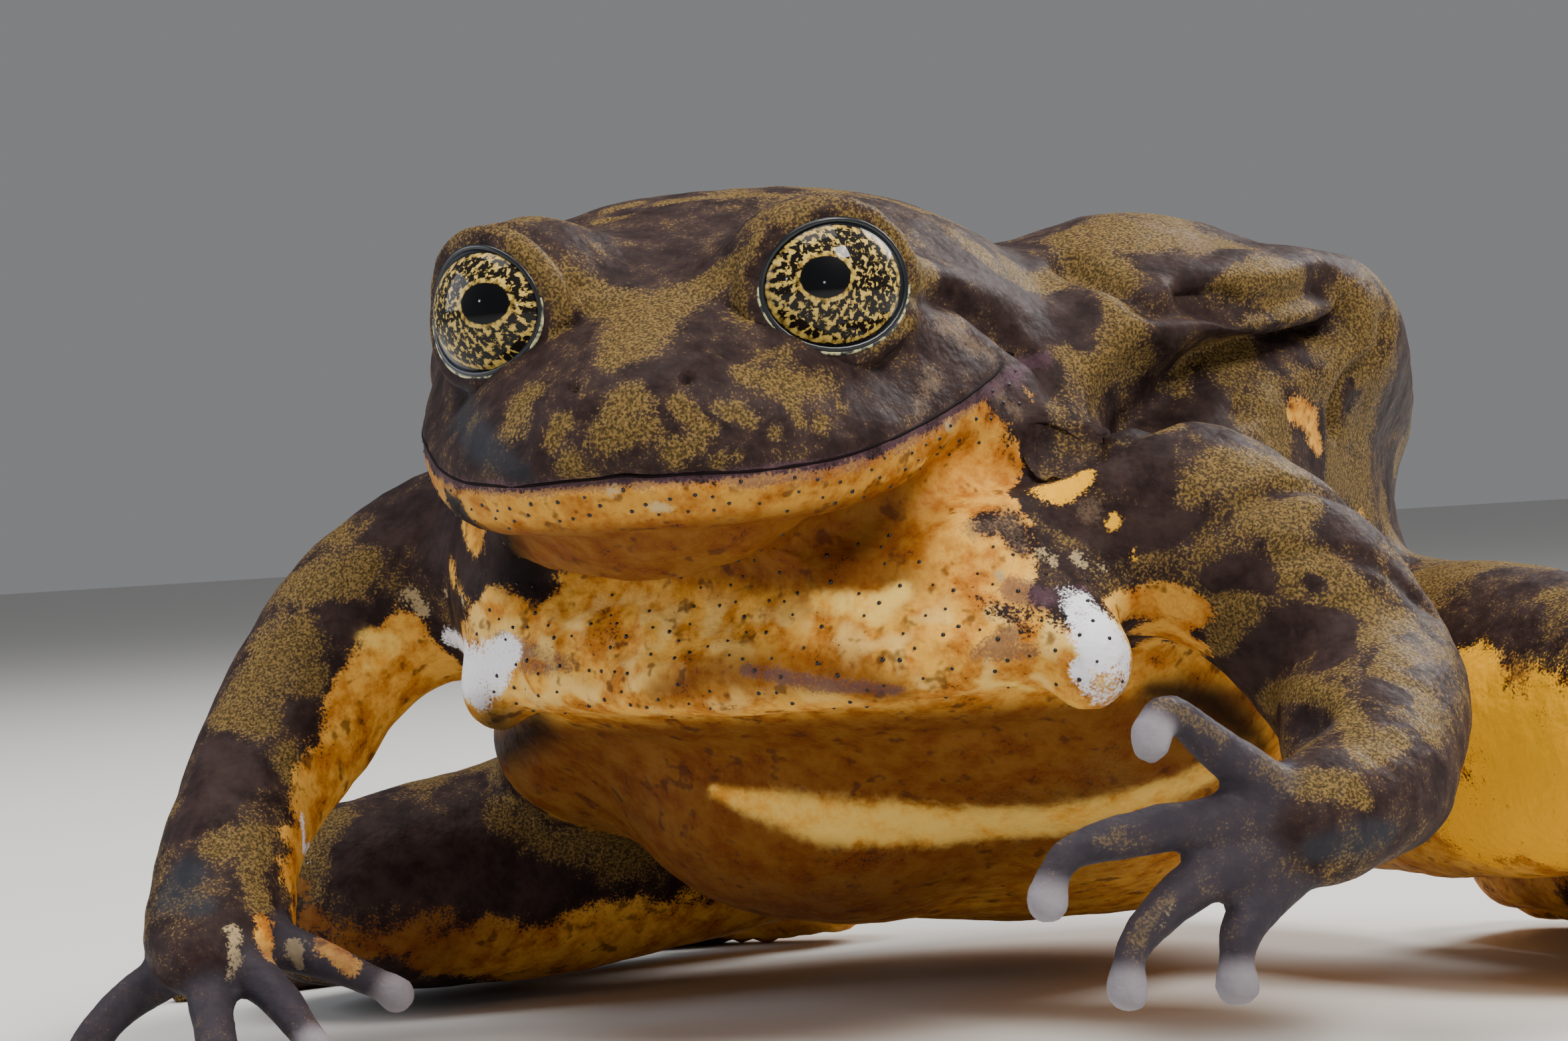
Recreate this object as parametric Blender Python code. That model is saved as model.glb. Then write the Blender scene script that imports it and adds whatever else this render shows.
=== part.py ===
"""Sehuencas water frog, Telmatobius yuracare, as a still, life-size model.

The frog sits with its chest raised on its right hand, its left hand lifted, its fat belly sagging behind
the chest fold and both hind legs folded. It is modelled in millimetres, nose along -Y, its left side along
+X, floor at z = 0, as clay: shells, balls and ropes of balls are fused, smoothed and creased like a sculpt.
The whole skin is then thinned to facets and parted by thin cuts into named sub-parts, and scaled to metres.
"""

import math

import bmesh
import bpy
import numpy as np
from mathutils import Euler, Matrix, Vector

# Driving dimensions, in millimetres and degrees.
MILLIMETRE = 0.001
GAP = 0.3
HEAD_PLACE = (-0.5, -0.1, 26.7)
HEAD_YAW = 13.0
HEAD_PITCH = 13.0
EYE_RADIUS = 2.85
EYE_PLACE = (5.45, -0.6, -0.1)
EYE_OUTWARD = 29.0
EYE_UPWARD = 13.0
EYE_OPENING = (2.5, 2.15)
LID_THICKNESS = 0.7
LID_SPREAD = 0.7
LID_REACH = (1.9, 2.7)
BODY_CLAY = 0.6
LIMB_CLAY = 0.42
FINE_CLAY = 0.3
FACETS = 9000
FLOOR_FLAT = 0.16
BELLY_ROUNDNESS = 2.4

# The head, ring by ring from the snout back, in its own frame, whose origin is midway between the eyes:
# place along Y, half width, top, bottom, height of the widest line, roundness of the roof.
HEAD_RINGS = (
    (-8.5, 1.6, -3.3, -5.4, -4.6, 2.0),
    (-8.1, 3.2, -2.3, -6.1, -4.7, 1.9),
    (-7.3, 4.9, -1.3, -6.9, -4.8, 1.8),
    (-6.0, 6.5, -0.6, -7.7, -4.9, 1.6),
    (-4.4, 7.8, -0.1, -8.4, -4.9, 1.5),
    (-2.0, 9.0, 0.5, -9.0, -4.9, 1.45),
    (1.0, 10.0, 1.4, -9.5, -4.7, 1.7),
    (4.0, 10.5, 2.2, -9.9, -4.5, 2.1),
    (7.0, 11.1, 2.5, -10.5, -4.6, 2.3),
    (10.0, 11.2, 2.0, -11.2, -4.8, 2.3),
    (13.0, 10.4, 1.0, -11.6, -4.6, 2.3),
    (16.0, 8.4, -0.4, -11.0, -4.4, 2.3),
)

# The trunk, ring by ring from the chest back, as for the head.
TRUNK_MIDDLE = -0.9
TRUNK_RINGS = (
    (2.0, 9.5, 20.0, 13.2, 16.5, 2.4),
    (5.0, 12.3, 23.5, 11.9, 16.0, 2.5),
    (9.0, 13.6, 26.0, 9.8, 15.5, 2.7),
    (13.0, 15.2, 27.6, 6.6, 15.0, 3.0),
    (18.0, 16.1, 28.6, 3.9, 15.5, 3.4),
    (24.0, 16.2, 29.0, 2.5, 16.0, 3.6),
    (30.0, 15.9, 28.8, 1.9, 15.5, 3.4),
    (35.5, 14.2, 26.4, 2.0, 14.0, 3.0),
    (40.0, 11.2, 21.6, 3.2, 12.0, 2.6),
    (43.0, 7.0, 15.8, 5.2, 10.5, 2.4),
    (44.8, 3.4, 12.6, 7.2, 9.8, 2.2),
)

# Single balls of flesh: centre and radii of the breast, of the belly where it sags to the right, of the bump
# that hangs at each armpit, and of the loose skin heaped on each side of the spine.
BREAST = ((1.5, 6.6, 16.0), (12.6, 6.2, 4.1))
BELLY_SAGS = (((-11.0, 19.2, 10.8), (7.8, 8.0, 4.4)), ((-3.6, 19.0, 9.3), (9.2, 10.5, 6.4)))
ARMPIT_BUMPS = (((12.9, 2.8, 13.4), (1.6, 1.5, 1.9)), ((-10.6, 4.0, 13.5), (1.6, 1.5, 1.9)))
BACK_HEAPS = (((7.6, 21.5, 24.3), (7.0, 9.0, 5.4)), ((-8.6, 22.5, 24.0), (6.6, 9.0, 5.2)))

# Ropes of balls: x, y, z, radius across, radius up.
CHEST_FOLD = (
    (-10.4, 4.4, 14.0, 1.7, 1.7),
    (-5.5, 2.2, 13.6, 1.8, 1.7),
    (1.0, 1.1, 13.5, 1.8, 1.7),
    (7.5, 1.6, 13.7, 1.8, 1.7),
    (12.6, 3.2, 14.2, 1.6, 1.7),
)
FLANK_ROLLS = (
    ((10.6, 13.5, 24.0, 2.6, 2.8), (13.6, 20.0, 24.8, 2.9, 3.1), (14.2, 27.0, 24.4, 2.8, 3.3),
     (12.2, 34.5, 21.4, 2.6, 3.0)),
    ((-12.4, 13.5, 23.4, 2.6, 2.8), (-15.2, 20.0, 23.8, 2.8, 3.1), (-15.6, 27.0, 23.4, 2.8, 3.3),
     (-13.6, 34.5, 20.8, 2.6, 3.0)),
)
UPPER_ARM_LEFT = (
    (9.5, 9.0, 18.2, 4.4, 4.6),
    (14.0, 8.4, 17.8, 4.0, 4.0),
    (18.0, 8.8, 15.4, 3.8, 3.9),
    (20.4, 9.2, 12.0, 3.6, 3.7),
)
FOREARM_LEFT = (
    (20.9, 8.6, 11.3, 3.5, 3.5),
    (21.9, 5.4, 10.4, 3.3, 3.2),
    (22.8, 2.4, 9.2, 2.9, 2.8),
    (22.9, 0.4, 8.6, 2.6, 2.3),
)
UPPER_ARM_RIGHT = (
    (-9.5, 12.0, 17.8, 4.4, 4.6),
    (-14.2, 10.8, 18.0, 4.1, 4.2),
    (-18.2, 8.8, 16.4, 3.7, 3.8),
    (-20.4, 6.8, 13.4, 3.3, 3.4),
)
FOREARM_RIGHT = (
    (-20.6, 6.3, 12.6, 3.3, 3.5),
    (-20.9, 3.4, 10.0, 2.8, 2.9),
    (-20.4, 0.6, 7.8, 2.7, 2.6),
    (-19.9, -1.0, 6.0, 2.8, 2.1),
)
PALM_LEFT = (
    (22.9, 0.2, 8.5, 2.5, 2.2),
    (22.4, -1.8, 8.2, 2.2, 2.3),
    (21.5, -3.4, 7.9, 1.4, 2.0),
)
PALM_RIGHT = (
    (-19.8, -1.1, 5.8, 2.9, 2.0),
    (-19.2, -2.4, 4.8, 2.9, 1.5),
    (-18.7, -3.5, 4.0, 2.1, 1.1),
)
FINGERS_LEFT = (
    ((21.6, -3.0, 9.0, 1.0, 1.0), (20.5, -5.2, 10.6, 0.75, 0.75), (19.5, -7.0, 12.0, 0.6, 0.6),
     (19.2, -7.9, 11.3, 0.7, 0.8)),
    ((21.2, -3.5, 8.5, 1.0, 1.0), (18.9, -6.9, 8.4, 0.72, 0.76), (17.0, -9.1, 8.0, 0.55, 0.55),
     (16.5, -9.8, 7.3, 0.52, 0.52), (16.3, -10.0, 6.5, 0.68, 0.72)),
    ((21.4, -3.5, 7.3, 1.0, 1.0), (19.7, -6.2, 6.6, 0.8, 0.8), (18.6, -8.1, 5.3, 0.58, 0.58),
     (18.3, -8.7, 4.4, 0.52, 0.52), (18.3, -8.9, 3.6, 0.68, 0.68)),
    ((21.6, -3.0, 6.7, 1.0, 1.0), (20.9, -5.0, 5.3, 0.75, 0.75), (20.8, -5.7, 4.2, 0.54, 0.54),
     (20.8, -5.9, 3.4, 0.68, 0.68)),
)
FINGERS_RIGHT = (
    ((-17.3, -1.9, 4.8, 0.95, 0.95), (-15.1, -1.4, 3.9, 0.72, 0.7), (-13.5, -0.9, 3.1, 0.55, 0.55),
     (-12.9, -0.7, 2.7, 0.68, 0.64)),
    ((-17.6, -3.4, 4.2, 0.95, 0.95), (-15.5, -4.2, 2.9, 0.75, 0.7), (-14.2, -4.7, 1.8, 0.58, 0.55),
     (-13.7, -4.9, 1.3, 0.7, 0.65)),
    ((-18.6, -3.9, 3.8, 0.95, 0.95), (-17.3, -5.8, 2.1, 0.78, 0.72), (-15.8, -7.4, 0.62, 0.72, 0.62)),
    ((-20.2, -3.1, 4.2, 0.95, 0.95), (-22.5, -4.2, 2.6, 0.78, 0.72), (-23.8, -5.4, 0.62, 0.72, 0.62)),
)
THIGH_LEFT = (
    (6.0, 36.0, 9.4, 5.5, 5.5),
    (13.0, 31.4, 9.6, 5.8, 6.2),
    (21.0, 24.0, 9.6, 5.3, 6.2),
    (27.4, 18.4, 9.4, 4.1, 5.0),
)
SHANK_LEFT = (
    (28.8, 18.2, 7.6, 3.6, 4.2),
    (29.8, 22.6, 5.8, 3.6, 4.2),
    (25.4, 31.0, 4.8, 3.4, 3.8),
    (17.0, 38.2, 3.8, 2.5, 2.8),
)
THIGH_RIGHT = (
    (-6.0, 35.0, 8.6, 5.5, 5.5),
    (-13.0, 29.5, 7.2, 5.7, 5.4),
    (-19.0, 21.5, 5.4, 5.1, 4.8),
    (-23.8, 15.4, 4.8, 4.0, 4.1),
)
SHANK_RIGHT = (
    (-25.6, 15.0, 4.8, 3.4, 3.8),
    (-27.4, 19.5, 4.5, 3.5, 3.8),
    (-24.0, 28.5, 4.2, 3.4, 3.6),
    (-17.0, 37.5, 3.8, 2.5, 2.8),
)
FOOT_ROOT = ((15.2, 40.2, 2.4, 2.2, 2.1), (20.6, 39.4, 1.8, 2.0, 1.8), (26.4, 36.8, 1.4, 2.2, 1.3))
TOE_ROOT = (26.2, 36.9, 1.0)
TOE_TIPS = ((31.2, 27.0), (33.2, 22.6), (36.0, 20.0), (38.4, 24.8), (37.6, 30.8))
FOOT_SHIFTS = {1: (2.2, 0.8), -1: (0.0, 0.0)}
TOE_RADIUS = 0.85
WEB_REACH = 0.72
WEB_HALF = 0.36

# Thin cuts that part the skin: centre, the way the plate faces, the way its longer side runs, half sizes.
PLATES = (
    ((16.0, 8.9, 17.0), (0.95, -0.16, -0.27), (0, 1, 0), 7.4, 7.4),
    ((-16.42, 9.8, 18.5), (-0.95, -0.25, -0.1), (0, 1, 0), 7.4, 6.1),
    ((20.9, 8.7, 11.4), (0.34, -0.52, -0.78), (1, 0, 0), 5.4, 5.4),
    ((-20.45, 6.5, 12.9), (-0.15, -0.56, -0.76), (1, 0, 0), 4.8, 5.0),
    ((22.9, 0.8, 8.7), (-0.1, -0.95, -0.3), (1, 0, 0), 4.0, 4.0),
    ((-19.1, -0.3, 6.2), (0.2, -0.75, -0.62), (1, 0, 0), 3.6, 3.6),
    ((14.9, 27.0, 8.8), (0.93, 0.17, -0.33), (0, 1, 0), 18.0, 8.8),
    ((-15.7, 26.0, 7.0), (-0.9, 0.17, -0.4), (0, 1, 0), 18.0, 7.8),
    ((23.1, 26.1, 6.6), (0.75, 0.47, -0.46), (-0.54, 0.85, 0), 14.5, 8.4),
    ((-22.4, 22.5, 4.6), (-0.885, 0.453, -0.12), (0.46, 0.89, 0), 15.0, 7.0),
    ((20.7, 37.7, 2.9), (0.48, 0.87, -0.12), (0.87, -0.48, 0), 8.2, 5.0),
    ((-19.4, 36.6, 2.9), (-0.567, 0.824, -0.12), (-0.82, -0.57, 0), 8.2, 5.0),
)

# The cut round the back of the head, as an open box in the head's frame: the nape, the corner under the
# skull, the throat and its front end in Y and Z, and the two cheeks in X.
NECK_PROFILE = ((14.4, 6.0), (12.6, -8.8), (0.6, -9.95), (-3.6, -9.9), (-3.6, 6.0))
NECK_SIDES = (-12.1, 12.1)

# Each sub-part: a point on its skin, and its colour and roughness.
DARK_SKIN = (0.045, 0.03, 0.028)
OLIVE_SKIN = (0.13, 0.085, 0.035)
ORANGE_SKIN = (0.55, 0.24, 0.02)
SUB_PARTS = {
    "head": ((0.0, -8.0, 23.5), OLIVE_SKIN, 0.35),
    "torso": ((0.0, 24.0, 31.0), OLIVE_SKIN, 0.4),
    "upper_arm_left": ((18.5, 8.8, 19.3), DARK_SKIN, 0.4),
    "upper_arm_right": ((-18.5, 8.8, 20.2), DARK_SKIN, 0.4),
    "forearm_left": ((22.4, 4.0, 13.2), DARK_SKIN, 0.4),
    "forearm_right": ((-22.8, 3.6, 10.0), DARK_SKIN, 0.4),
    "hand_left": ((23.5, -2.5, 10.4), DARK_SKIN, 0.4),
    "hand_right": ((-15.3, -7.5, 0.8), DARK_SKIN, 0.4),
    "thigh_left": ((21.0, 19.0, 16.0), ORANGE_SKIN, 0.4),
    "thigh_right": ((-20.0, 18.0, 9.5), ORANGE_SKIN, 0.4),
    "shank_left": ((30.5, 20.0, 7.0), DARK_SKIN, 0.4),
    "shank_right": ((-30.0, 20.0, 6.0), DARK_SKIN, 0.4),
    "foot_left": ((38.2, 20.8, 0.9), DARK_SKIN, 0.4),
    "foot_right": ((-36.0, 20.0, 0.9), DARK_SKIN, 0.4),
}

# Lines that crease the clay, in the head's frame: the mouth, the roll behind the eye, the nostrils.
MOUTH_LINE = (
    (10.1, 6.2, -4.2), (9.9, 4.0, -4.3), (9.2, 1.0, -4.5), (8.3, -2.0, -4.75), (6.9, -4.6, -4.9),
    (5.2, -6.5, -4.85), (2.7, -8.0, -4.65), (0.0, -8.5, -4.5),
)
CHEEK_ROLL = ((7.6, 2.4, -0.2), (8.8, 4.2, -1.2), (9.9, 6.4, -2.6), (11.0, 8.6, -4.8), (11.2, 9.8, -7.6))
NOSTRIL = (2.0, -7.1, -1.5)
NOSTRIL_RADIUS = 0.35
MOUTH_MIDDLE = 4.0
MOUTH_DEPTH = 0.1


def smooth_curve(points, spacing):
    """Rows read from a smooth curve through the given rows, about one for each spacing of length."""
    rows = np.array(points, float)
    rows = np.vstack((2 * rows[0] - rows[1], rows, 2 * rows[-1] - rows[-2]))
    out = []
    for before, start, end, after in zip(rows[:-3], rows[1:-2], rows[2:-1], rows[3:]):
        count = max(2, math.ceil(np.linalg.norm((end - start)[:3]) / spacing))
        for t in np.arange(count) / count:
            out.append(0.5 * (2 * start + (end - before) * t
                              + (2 * before - 5 * start + 4 * end - after) * t * t
                              + (3 * start - before - 3 * end + after) * t ** 3))
    out.append(rows[-2])
    return np.array(out)


def head_frame():
    turn = Euler((math.radians(HEAD_PITCH), 0.0, math.radians(HEAD_YAW)), "XYZ")
    return Matrix.Translation(HEAD_PLACE) @ turn.to_matrix().to_4x4()


def in_head(point):
    return head_frame() @ Vector(point)


def eye_frame(side):
    """Centre of the eyeball and the way that the eye looks, for side 1, the left, or -1."""
    outward, upward = math.radians(EYE_OUTWARD), math.radians(EYE_UPWARD)
    look = Vector((side * math.sin(outward) * math.cos(upward), -math.cos(outward) * math.cos(upward),
                   math.sin(upward)))
    centre = in_head((side * EYE_PLACE[0], EYE_PLACE[1], EYE_PLACE[2]))
    return centre, (head_frame().to_3x3() @ look).normalized()


def add_ball(bm, centre, radii, turn=None, segments=20):
    place = Matrix.Translation(centre) @ (turn or Matrix.Identity(4)) @ Matrix.Diagonal((*radii, 1.0))
    bmesh.ops.create_uvsphere(bm, u_segments=segments, v_segments=segments // 2, radius=1.0, matrix=place)


def add_rope(bm, stations):
    """A limb or roll of flesh as a close row of balls along a smooth curve."""
    spacing = 0.55 * min(row[3] for row in stations)
    rope = bmesh.new()
    for x, y, z, across, up in smooth_curve(stations, spacing):
        add_ball(rope, (x, y, z), (across, across, up), segments=14)
    mesh = bpy.data.meshes.new("rope")
    rope.to_mesh(mesh)
    rope.free()
    bm.from_mesh(mesh)
    bpy.data.meshes.remove(mesh)


def add_shell(bm, rings, place, sides=56):
    """A ball pulled over rings across Y, each with its own width, top, bottom and roundness."""
    rings = smooth_curve([(row[0], 0.0, 0.0, *row[1:]) for row in rings], 0.8)
    count = len(rings)
    ball = bmesh.ops.create_uvsphere(bm, u_segments=sides, v_segments=count + 1, radius=1.0)
    for vert in ball["verts"]:
        around = math.atan2(vert.co.y, vert.co.x)
        step = math.acos(max(-1.0, min(1.0, vert.co.z))) / math.pi * (count + 1) - 1.0
        y, _, _, half, top, bottom, level, roof = rings[min(max(round(step), 0), count - 1)]
        if math.hypot(vert.co.x, vert.co.y) < 1e-4:
            vert.co = place @ Vector((0.0, y, level))
            continue
        across, up = math.cos(around), math.sin(around)
        height, power = (top - level, 2 / roof) if up > 0 else (level - bottom, 2 / BELLY_ROUNDNESS)
        vert.co = place @ Vector((
            half * math.copysign(abs(across) ** power, across), y,
            level + height * math.copysign(abs(up) ** power, up)))


def new_object(name, mesh):
    thing = bpy.data.objects.new(name, mesh)
    bpy.context.scene.collection.objects.link(thing)
    return thing


def evaluated(thing):
    """The object's mesh with its modifiers applied, and the object itself removed."""
    graph = bpy.context.evaluated_depsgraph_get()
    graph.update()
    mesh = bpy.data.meshes.new_from_object(thing.evaluated_get(graph))
    bpy.data.objects.remove(thing)
    return mesh


def fused(bm, voxel):
    """One closed skin round everything in the bmesh."""
    mesh = bpy.data.meshes.new("clay")
    bm.to_mesh(mesh)
    bm.free()
    clay = new_object("clay", mesh)
    remesh = clay.modifiers.new("fuse", "REMESH")
    remesh.mode = "VOXEL"
    remesh.voxel_size = voxel
    remesh.adaptivity = 0.0
    return evaluated(clay)


def coordinates(mesh):
    co = np.empty(len(mesh.vertices) * 3)
    mesh.vertices.foreach_get("co", co)
    return co.reshape(-1, 3)


def normals(mesh):
    normal = np.empty(len(mesh.vertices) * 3)
    mesh.vertices.foreach_get("normal", normal)
    return normal.reshape(-1, 3)


def put_coordinates(mesh, co):
    mesh.vertices.foreach_set("co", co.ravel())
    mesh.update()


def relax(mesh, rounds, keep_volume=True):
    """Smooths the skin. Each second round swells it again, so that thin fingers don't shrink."""
    co = coordinates(mesh)
    edges = np.empty(len(mesh.edges) * 2, int)
    mesh.edges.foreach_get("vertices", edges)
    a, b = edges.reshape(-1, 2).T
    count = len(co)
    degree = np.bincount(a, minlength=count) + np.bincount(b, minlength=count)
    for turn in range(rounds):
        total = np.stack([np.bincount(a, co[b, k], count) + np.bincount(b, co[a, k], count) for k in range(3)], 1)
        amount = -0.53 if keep_volume and turn % 2 else 0.5
        co = co + amount * (total / degree[:, None] - co)
    put_coordinates(mesh, co)


def distance_to_path(co, path):
    """Distance from each point to a line of points."""
    best = np.full(len(co), 1e9)
    for start, end in zip(path[:-1], path[1:]):
        along = end - start
        t = np.clip((co - start) @ along / max(along @ along, 1e-9), 0.0, 1.0)
        best = np.minimum(best, np.linalg.norm(co - start - t[:, None] * along, axis=1))
    return best


def head_path(points, side=1, spacing=0.5):
    return smooth_curve([in_head((side * p[0], p[1], p[2])) for p in points], spacing)


def press(mesh, path, width, depth):
    """Moves the skin along its normals near a line, inwards for a negative depth."""
    co = coordinates(mesh)
    near = np.exp(-(distance_to_path(co, path) / width) ** 2)
    put_coordinates(mesh, co + normals(mesh) * (depth * near)[:, None])


def open_lids(mesh, side):
    """Draws the skin to the eyeball as a lid round an oval opening, and sinks it inside the opening."""
    centre, look = eye_frame(side)
    across = look.cross(head_frame().to_3x3() @ Vector((0.0, 0.0, 1.0))).normalized()
    up = across.cross(look)
    co = coordinates(mesh)
    ray = co - np.array(centre)
    reach = np.maximum(np.linalg.norm(ray, axis=1), 1e-6)
    p, q = ray @ np.array(across), ray @ np.array(up)
    flat = np.maximum(np.hypot(p, q), 1e-6)
    edge = np.arcsin(1.0 / np.hypot(p / flat / EYE_OPENING[0], q / flat / EYE_OPENING[1]) / EYE_RADIUS)
    outside = np.arccos(np.clip(ray @ np.array(look) / reach, -1.0, 1.0)) - edge
    fade = np.clip(outside / LID_SPREAD, 0.0, 1.0)
    far = np.clip((reach - EYE_RADIUS - LID_REACH[0]) / (LID_REACH[1] - LID_REACH[0]), 0.0, 1.0)
    pull = (1.0 - fade * fade * (3.0 - 2.0 * fade)) * (1.0 - far * far * (3.0 - 2.0 * far))
    lid = (EYE_RADIUS + LID_THICKNESS) * pull + reach * (1.0 - pull)
    hole = (outside < 0.0) & (reach < EYE_RADIUS + LID_REACH[1])
    reach_new = np.where(hole, np.minimum(reach, EYE_RADIUS - 0.5), lid)
    put_coordinates(mesh, np.array(centre) + ray * (reach_new / reach)[:, None])


def toes(side):
    """Where the toes of one foot start, and their tips on the floor."""
    out, back = FOOT_SHIFTS[side]
    root = Vector((side * (TOE_ROOT[0] + out), TOE_ROOT[1] + back, TOE_ROOT[2]))
    return root, [Vector((side * (x + out), y + back, 0.0)) for x, y in TOE_TIPS]


def foot(side):
    """Foot clay: the long ankle, five toes and the web between them, for side 1 or -1."""
    out, back = FOOT_SHIFTS[side]
    pieces = [tuple((side * (x + out), y + back, z, across, up) for x, y, z, across, up in FOOT_ROOT)]
    root, tips = toes(side)
    for tip in tips:
        tip.z = 0.62
        middle = root.lerp(tip, 0.5)
        pieces.append(((*root, 1.1, 1.1), (middle.x, middle.y, 0.95, TOE_RADIUS, 0.85), (*tip, 0.72, 0.72)))
    return pieces


def add_web(bm, root, tips):
    """The web as a thin plate fanned between the toes, its free edge bowed in between two tips."""
    for first, second in zip(tips[:-1], tips[1:]):
        ends = [root.lerp(first, WEB_REACH), root.lerp((first + second) / 2, WEB_REACH * 0.82),
                root.lerp(second, WEB_REACH)]
        verts = [bm.verts.new((p.x, p.y, 0.5)) for p in (root, *ends)]
        face = bm.faces.new(verts)
        grown = bmesh.ops.extrude_face_region(bm, geom=[face])
        raised = [item for item in grown["geom"] if isinstance(item, bmesh.types.BMVert)]
        bmesh.ops.translate(bm, verts=raised, vec=(0.0, 0.0, WEB_HALF * 2))
        bmesh.ops.recalc_face_normals(bm, faces=list({f for v in verts + raised for f in v.link_faces}))


def model_skin():
    """The frog's whole skin as one closed, finely faceted surface."""
    bm = bmesh.new()
    add_shell(bm, HEAD_RINGS, head_frame())
    add_shell(bm, TRUNK_RINGS, Matrix.Translation((TRUNK_MIDDLE, 0.0, 0.0)))
    for side in (1, -1):
        centre, look = eye_frame(side)
        add_ball(bm, centre - look * 0.9 + Vector((0, 0, 0.1)), (3.6, 3.9, 3.5), segments=32)
    for ball in (BREAST, *BELLY_SAGS, *BACK_HEAPS):
        add_ball(bm, *ball, segments=40)
    for rope in (UPPER_ARM_LEFT, UPPER_ARM_RIGHT, THIGH_LEFT, THIGH_RIGHT, CHEST_FOLD, *FLANK_ROLLS):
        add_rope(bm, rope)
    body = fused(bm, BODY_CLAY)
    relax(body, 8, keep_volume=False)

    bm = bmesh.new()
    for rope in (FOREARM_LEFT, FOREARM_RIGHT, SHANK_LEFT, SHANK_RIGHT, PALM_LEFT, PALM_RIGHT):
        add_rope(bm, rope)
    for bump in ARMPIT_BUMPS:
        add_ball(bm, *bump)
    bm.from_mesh(body)
    body = fused(bm, LIMB_CLAY)
    relax(body, 5, keep_volume=False)

    bm = bmesh.new()
    for rope in FINGERS_LEFT + FINGERS_RIGHT:
        add_rope(bm, rope)
    for side in (1, -1):
        for rope in foot(side):
            add_rope(bm, rope)
        add_web(bm, *toes(side))
    bm.from_mesh(body)
    skin = fused(bm, FINE_CLAY)
    relax(skin, 4)

    for side in (1, -1):
        open_lids(skin, side)
        press(skin, head_path(CHEEK_ROLL, side), 0.8, 0.45)
    mouth = np.vstack((head_path(MOUTH_LINE), head_path(MOUTH_LINE, -1)[::-1]))
    press(skin, mouth, 0.32, -0.4)
    flatten(skin)
    return skin


def flatten(mesh):
    """Brings whatever is at the floor, or just above it, to the floor itself."""
    co = coordinates(mesh)
    co[:, 2] = np.where(co[:, 2] < FLOOR_FLAT, 0.0, co[:, 2])
    put_coordinates(mesh, co)


def thinned(mesh):
    """The same skin with few enough facets for a solid."""
    thing = new_object("skin", mesh)
    decimate = thing.modifiers.new("facets", "DECIMATE")
    triangles = sum(len(polygon.vertices) - 2 for polygon in mesh.polygons)
    decimate.ratio = FACETS / triangles
    mesh = evaluated(thing)
    flatten(mesh)
    return mesh


def plate(centre, facing, along, half_length, half_width):
    """A thin square plate that cuts one joint of the body."""
    facing = Vector(facing).normalized()
    across = facing.cross(Vector(along)).normalized()
    turn = Matrix((across.cross(facing), across, facing)).transposed().to_4x4()
    size = Matrix.Diagonal((2 * half_length, 2 * half_width, GAP, 1.0))
    bm = bmesh.new()
    bmesh.ops.create_cube(bm, size=1.0, matrix=Matrix.Translation(centre) @ turn @ size)
    return bm


def neck_box():
    """The thin walls that part the head from the trunk, under the jaw, beside the cheeks and behind."""
    bm = bmesh.new()
    sides = [[bm.verts.new((x, y, z)) for y, z in NECK_PROFILE] for x in NECK_SIDES]
    for verts in sides:
        bm.faces.new(verts)
    walls = [(sides[0][k], sides[0][k + 1], sides[1][k + 1], sides[1][k]) for k in range(3)]
    for wall in walls:
        bm.faces.new(wall)
    bmesh.ops.recalc_face_normals(bm, faces=bm.faces[:])
    bmesh.ops.solidify(bm, geom=bm.faces[:], thickness=GAP)
    bmesh.ops.recalc_face_normals(bm, faces=bm.faces[:])
    bmesh.ops.transform(bm, matrix=head_frame(), verts=bm.verts[:])
    return bm


def mouth_blade():
    """A thin ribbon along the mouth, half in the flesh and half out."""
    bm = bmesh.new()
    line = [Vector(p) for p in smooth_curve(MOUTH_LINE, 1.2)]
    line += [Vector((-p.x, p.y, p.z)) for p in line[-2::-1]]
    deep, out = ([bm.verts.new((p.x * f, MOUTH_MIDDLE + (p.y - MOUTH_MIDDLE) * f, p.z)) for p in line]
                 for f in (1.0 - MOUTH_DEPTH, 1.0 + MOUTH_DEPTH))
    for k in range(len(line) - 1):
        bm.faces.new((deep[k], deep[k + 1], out[k + 1], out[k]))
    bmesh.ops.recalc_face_normals(bm, faces=bm.faces[:])
    bmesh.ops.solidify(bm, geom=bm.faces[:], thickness=GAP)
    bmesh.ops.recalc_face_normals(bm, faces=bm.faces[:])
    bmesh.ops.transform(bm, matrix=head_frame(), verts=bm.verts[:])
    return bm


def cut(mesh, cutter):
    """The mesh less the cutter."""
    blade_mesh = bpy.data.meshes.new("cutter")
    cutter.to_mesh(blade_mesh)
    cutter.free()
    blade = new_object("cutter", blade_mesh)
    thing = new_object("skin", mesh)
    boolean = thing.modifiers.new("cut", "BOOLEAN")
    boolean.operation = "DIFFERENCE"
    boolean.object = blade
    out = evaluated(thing)
    bpy.data.objects.remove(blade)
    return out


def shells_of(mesh):
    """For each vertex, the number of the closed surface that it belongs to."""
    group = np.arange(len(mesh.vertices))
    edges = np.empty(len(mesh.edges) * 2, int)
    mesh.edges.foreach_get("vertices", edges)
    a, b = edges.reshape(-1, 2).T
    while True:
        low = np.minimum(group[a], group[b])
        before = group.copy()
        np.minimum.at(group, a, low)
        np.minimum.at(group, b, low)
        group = group[group]
        if (group == before).all():
            return group


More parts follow.
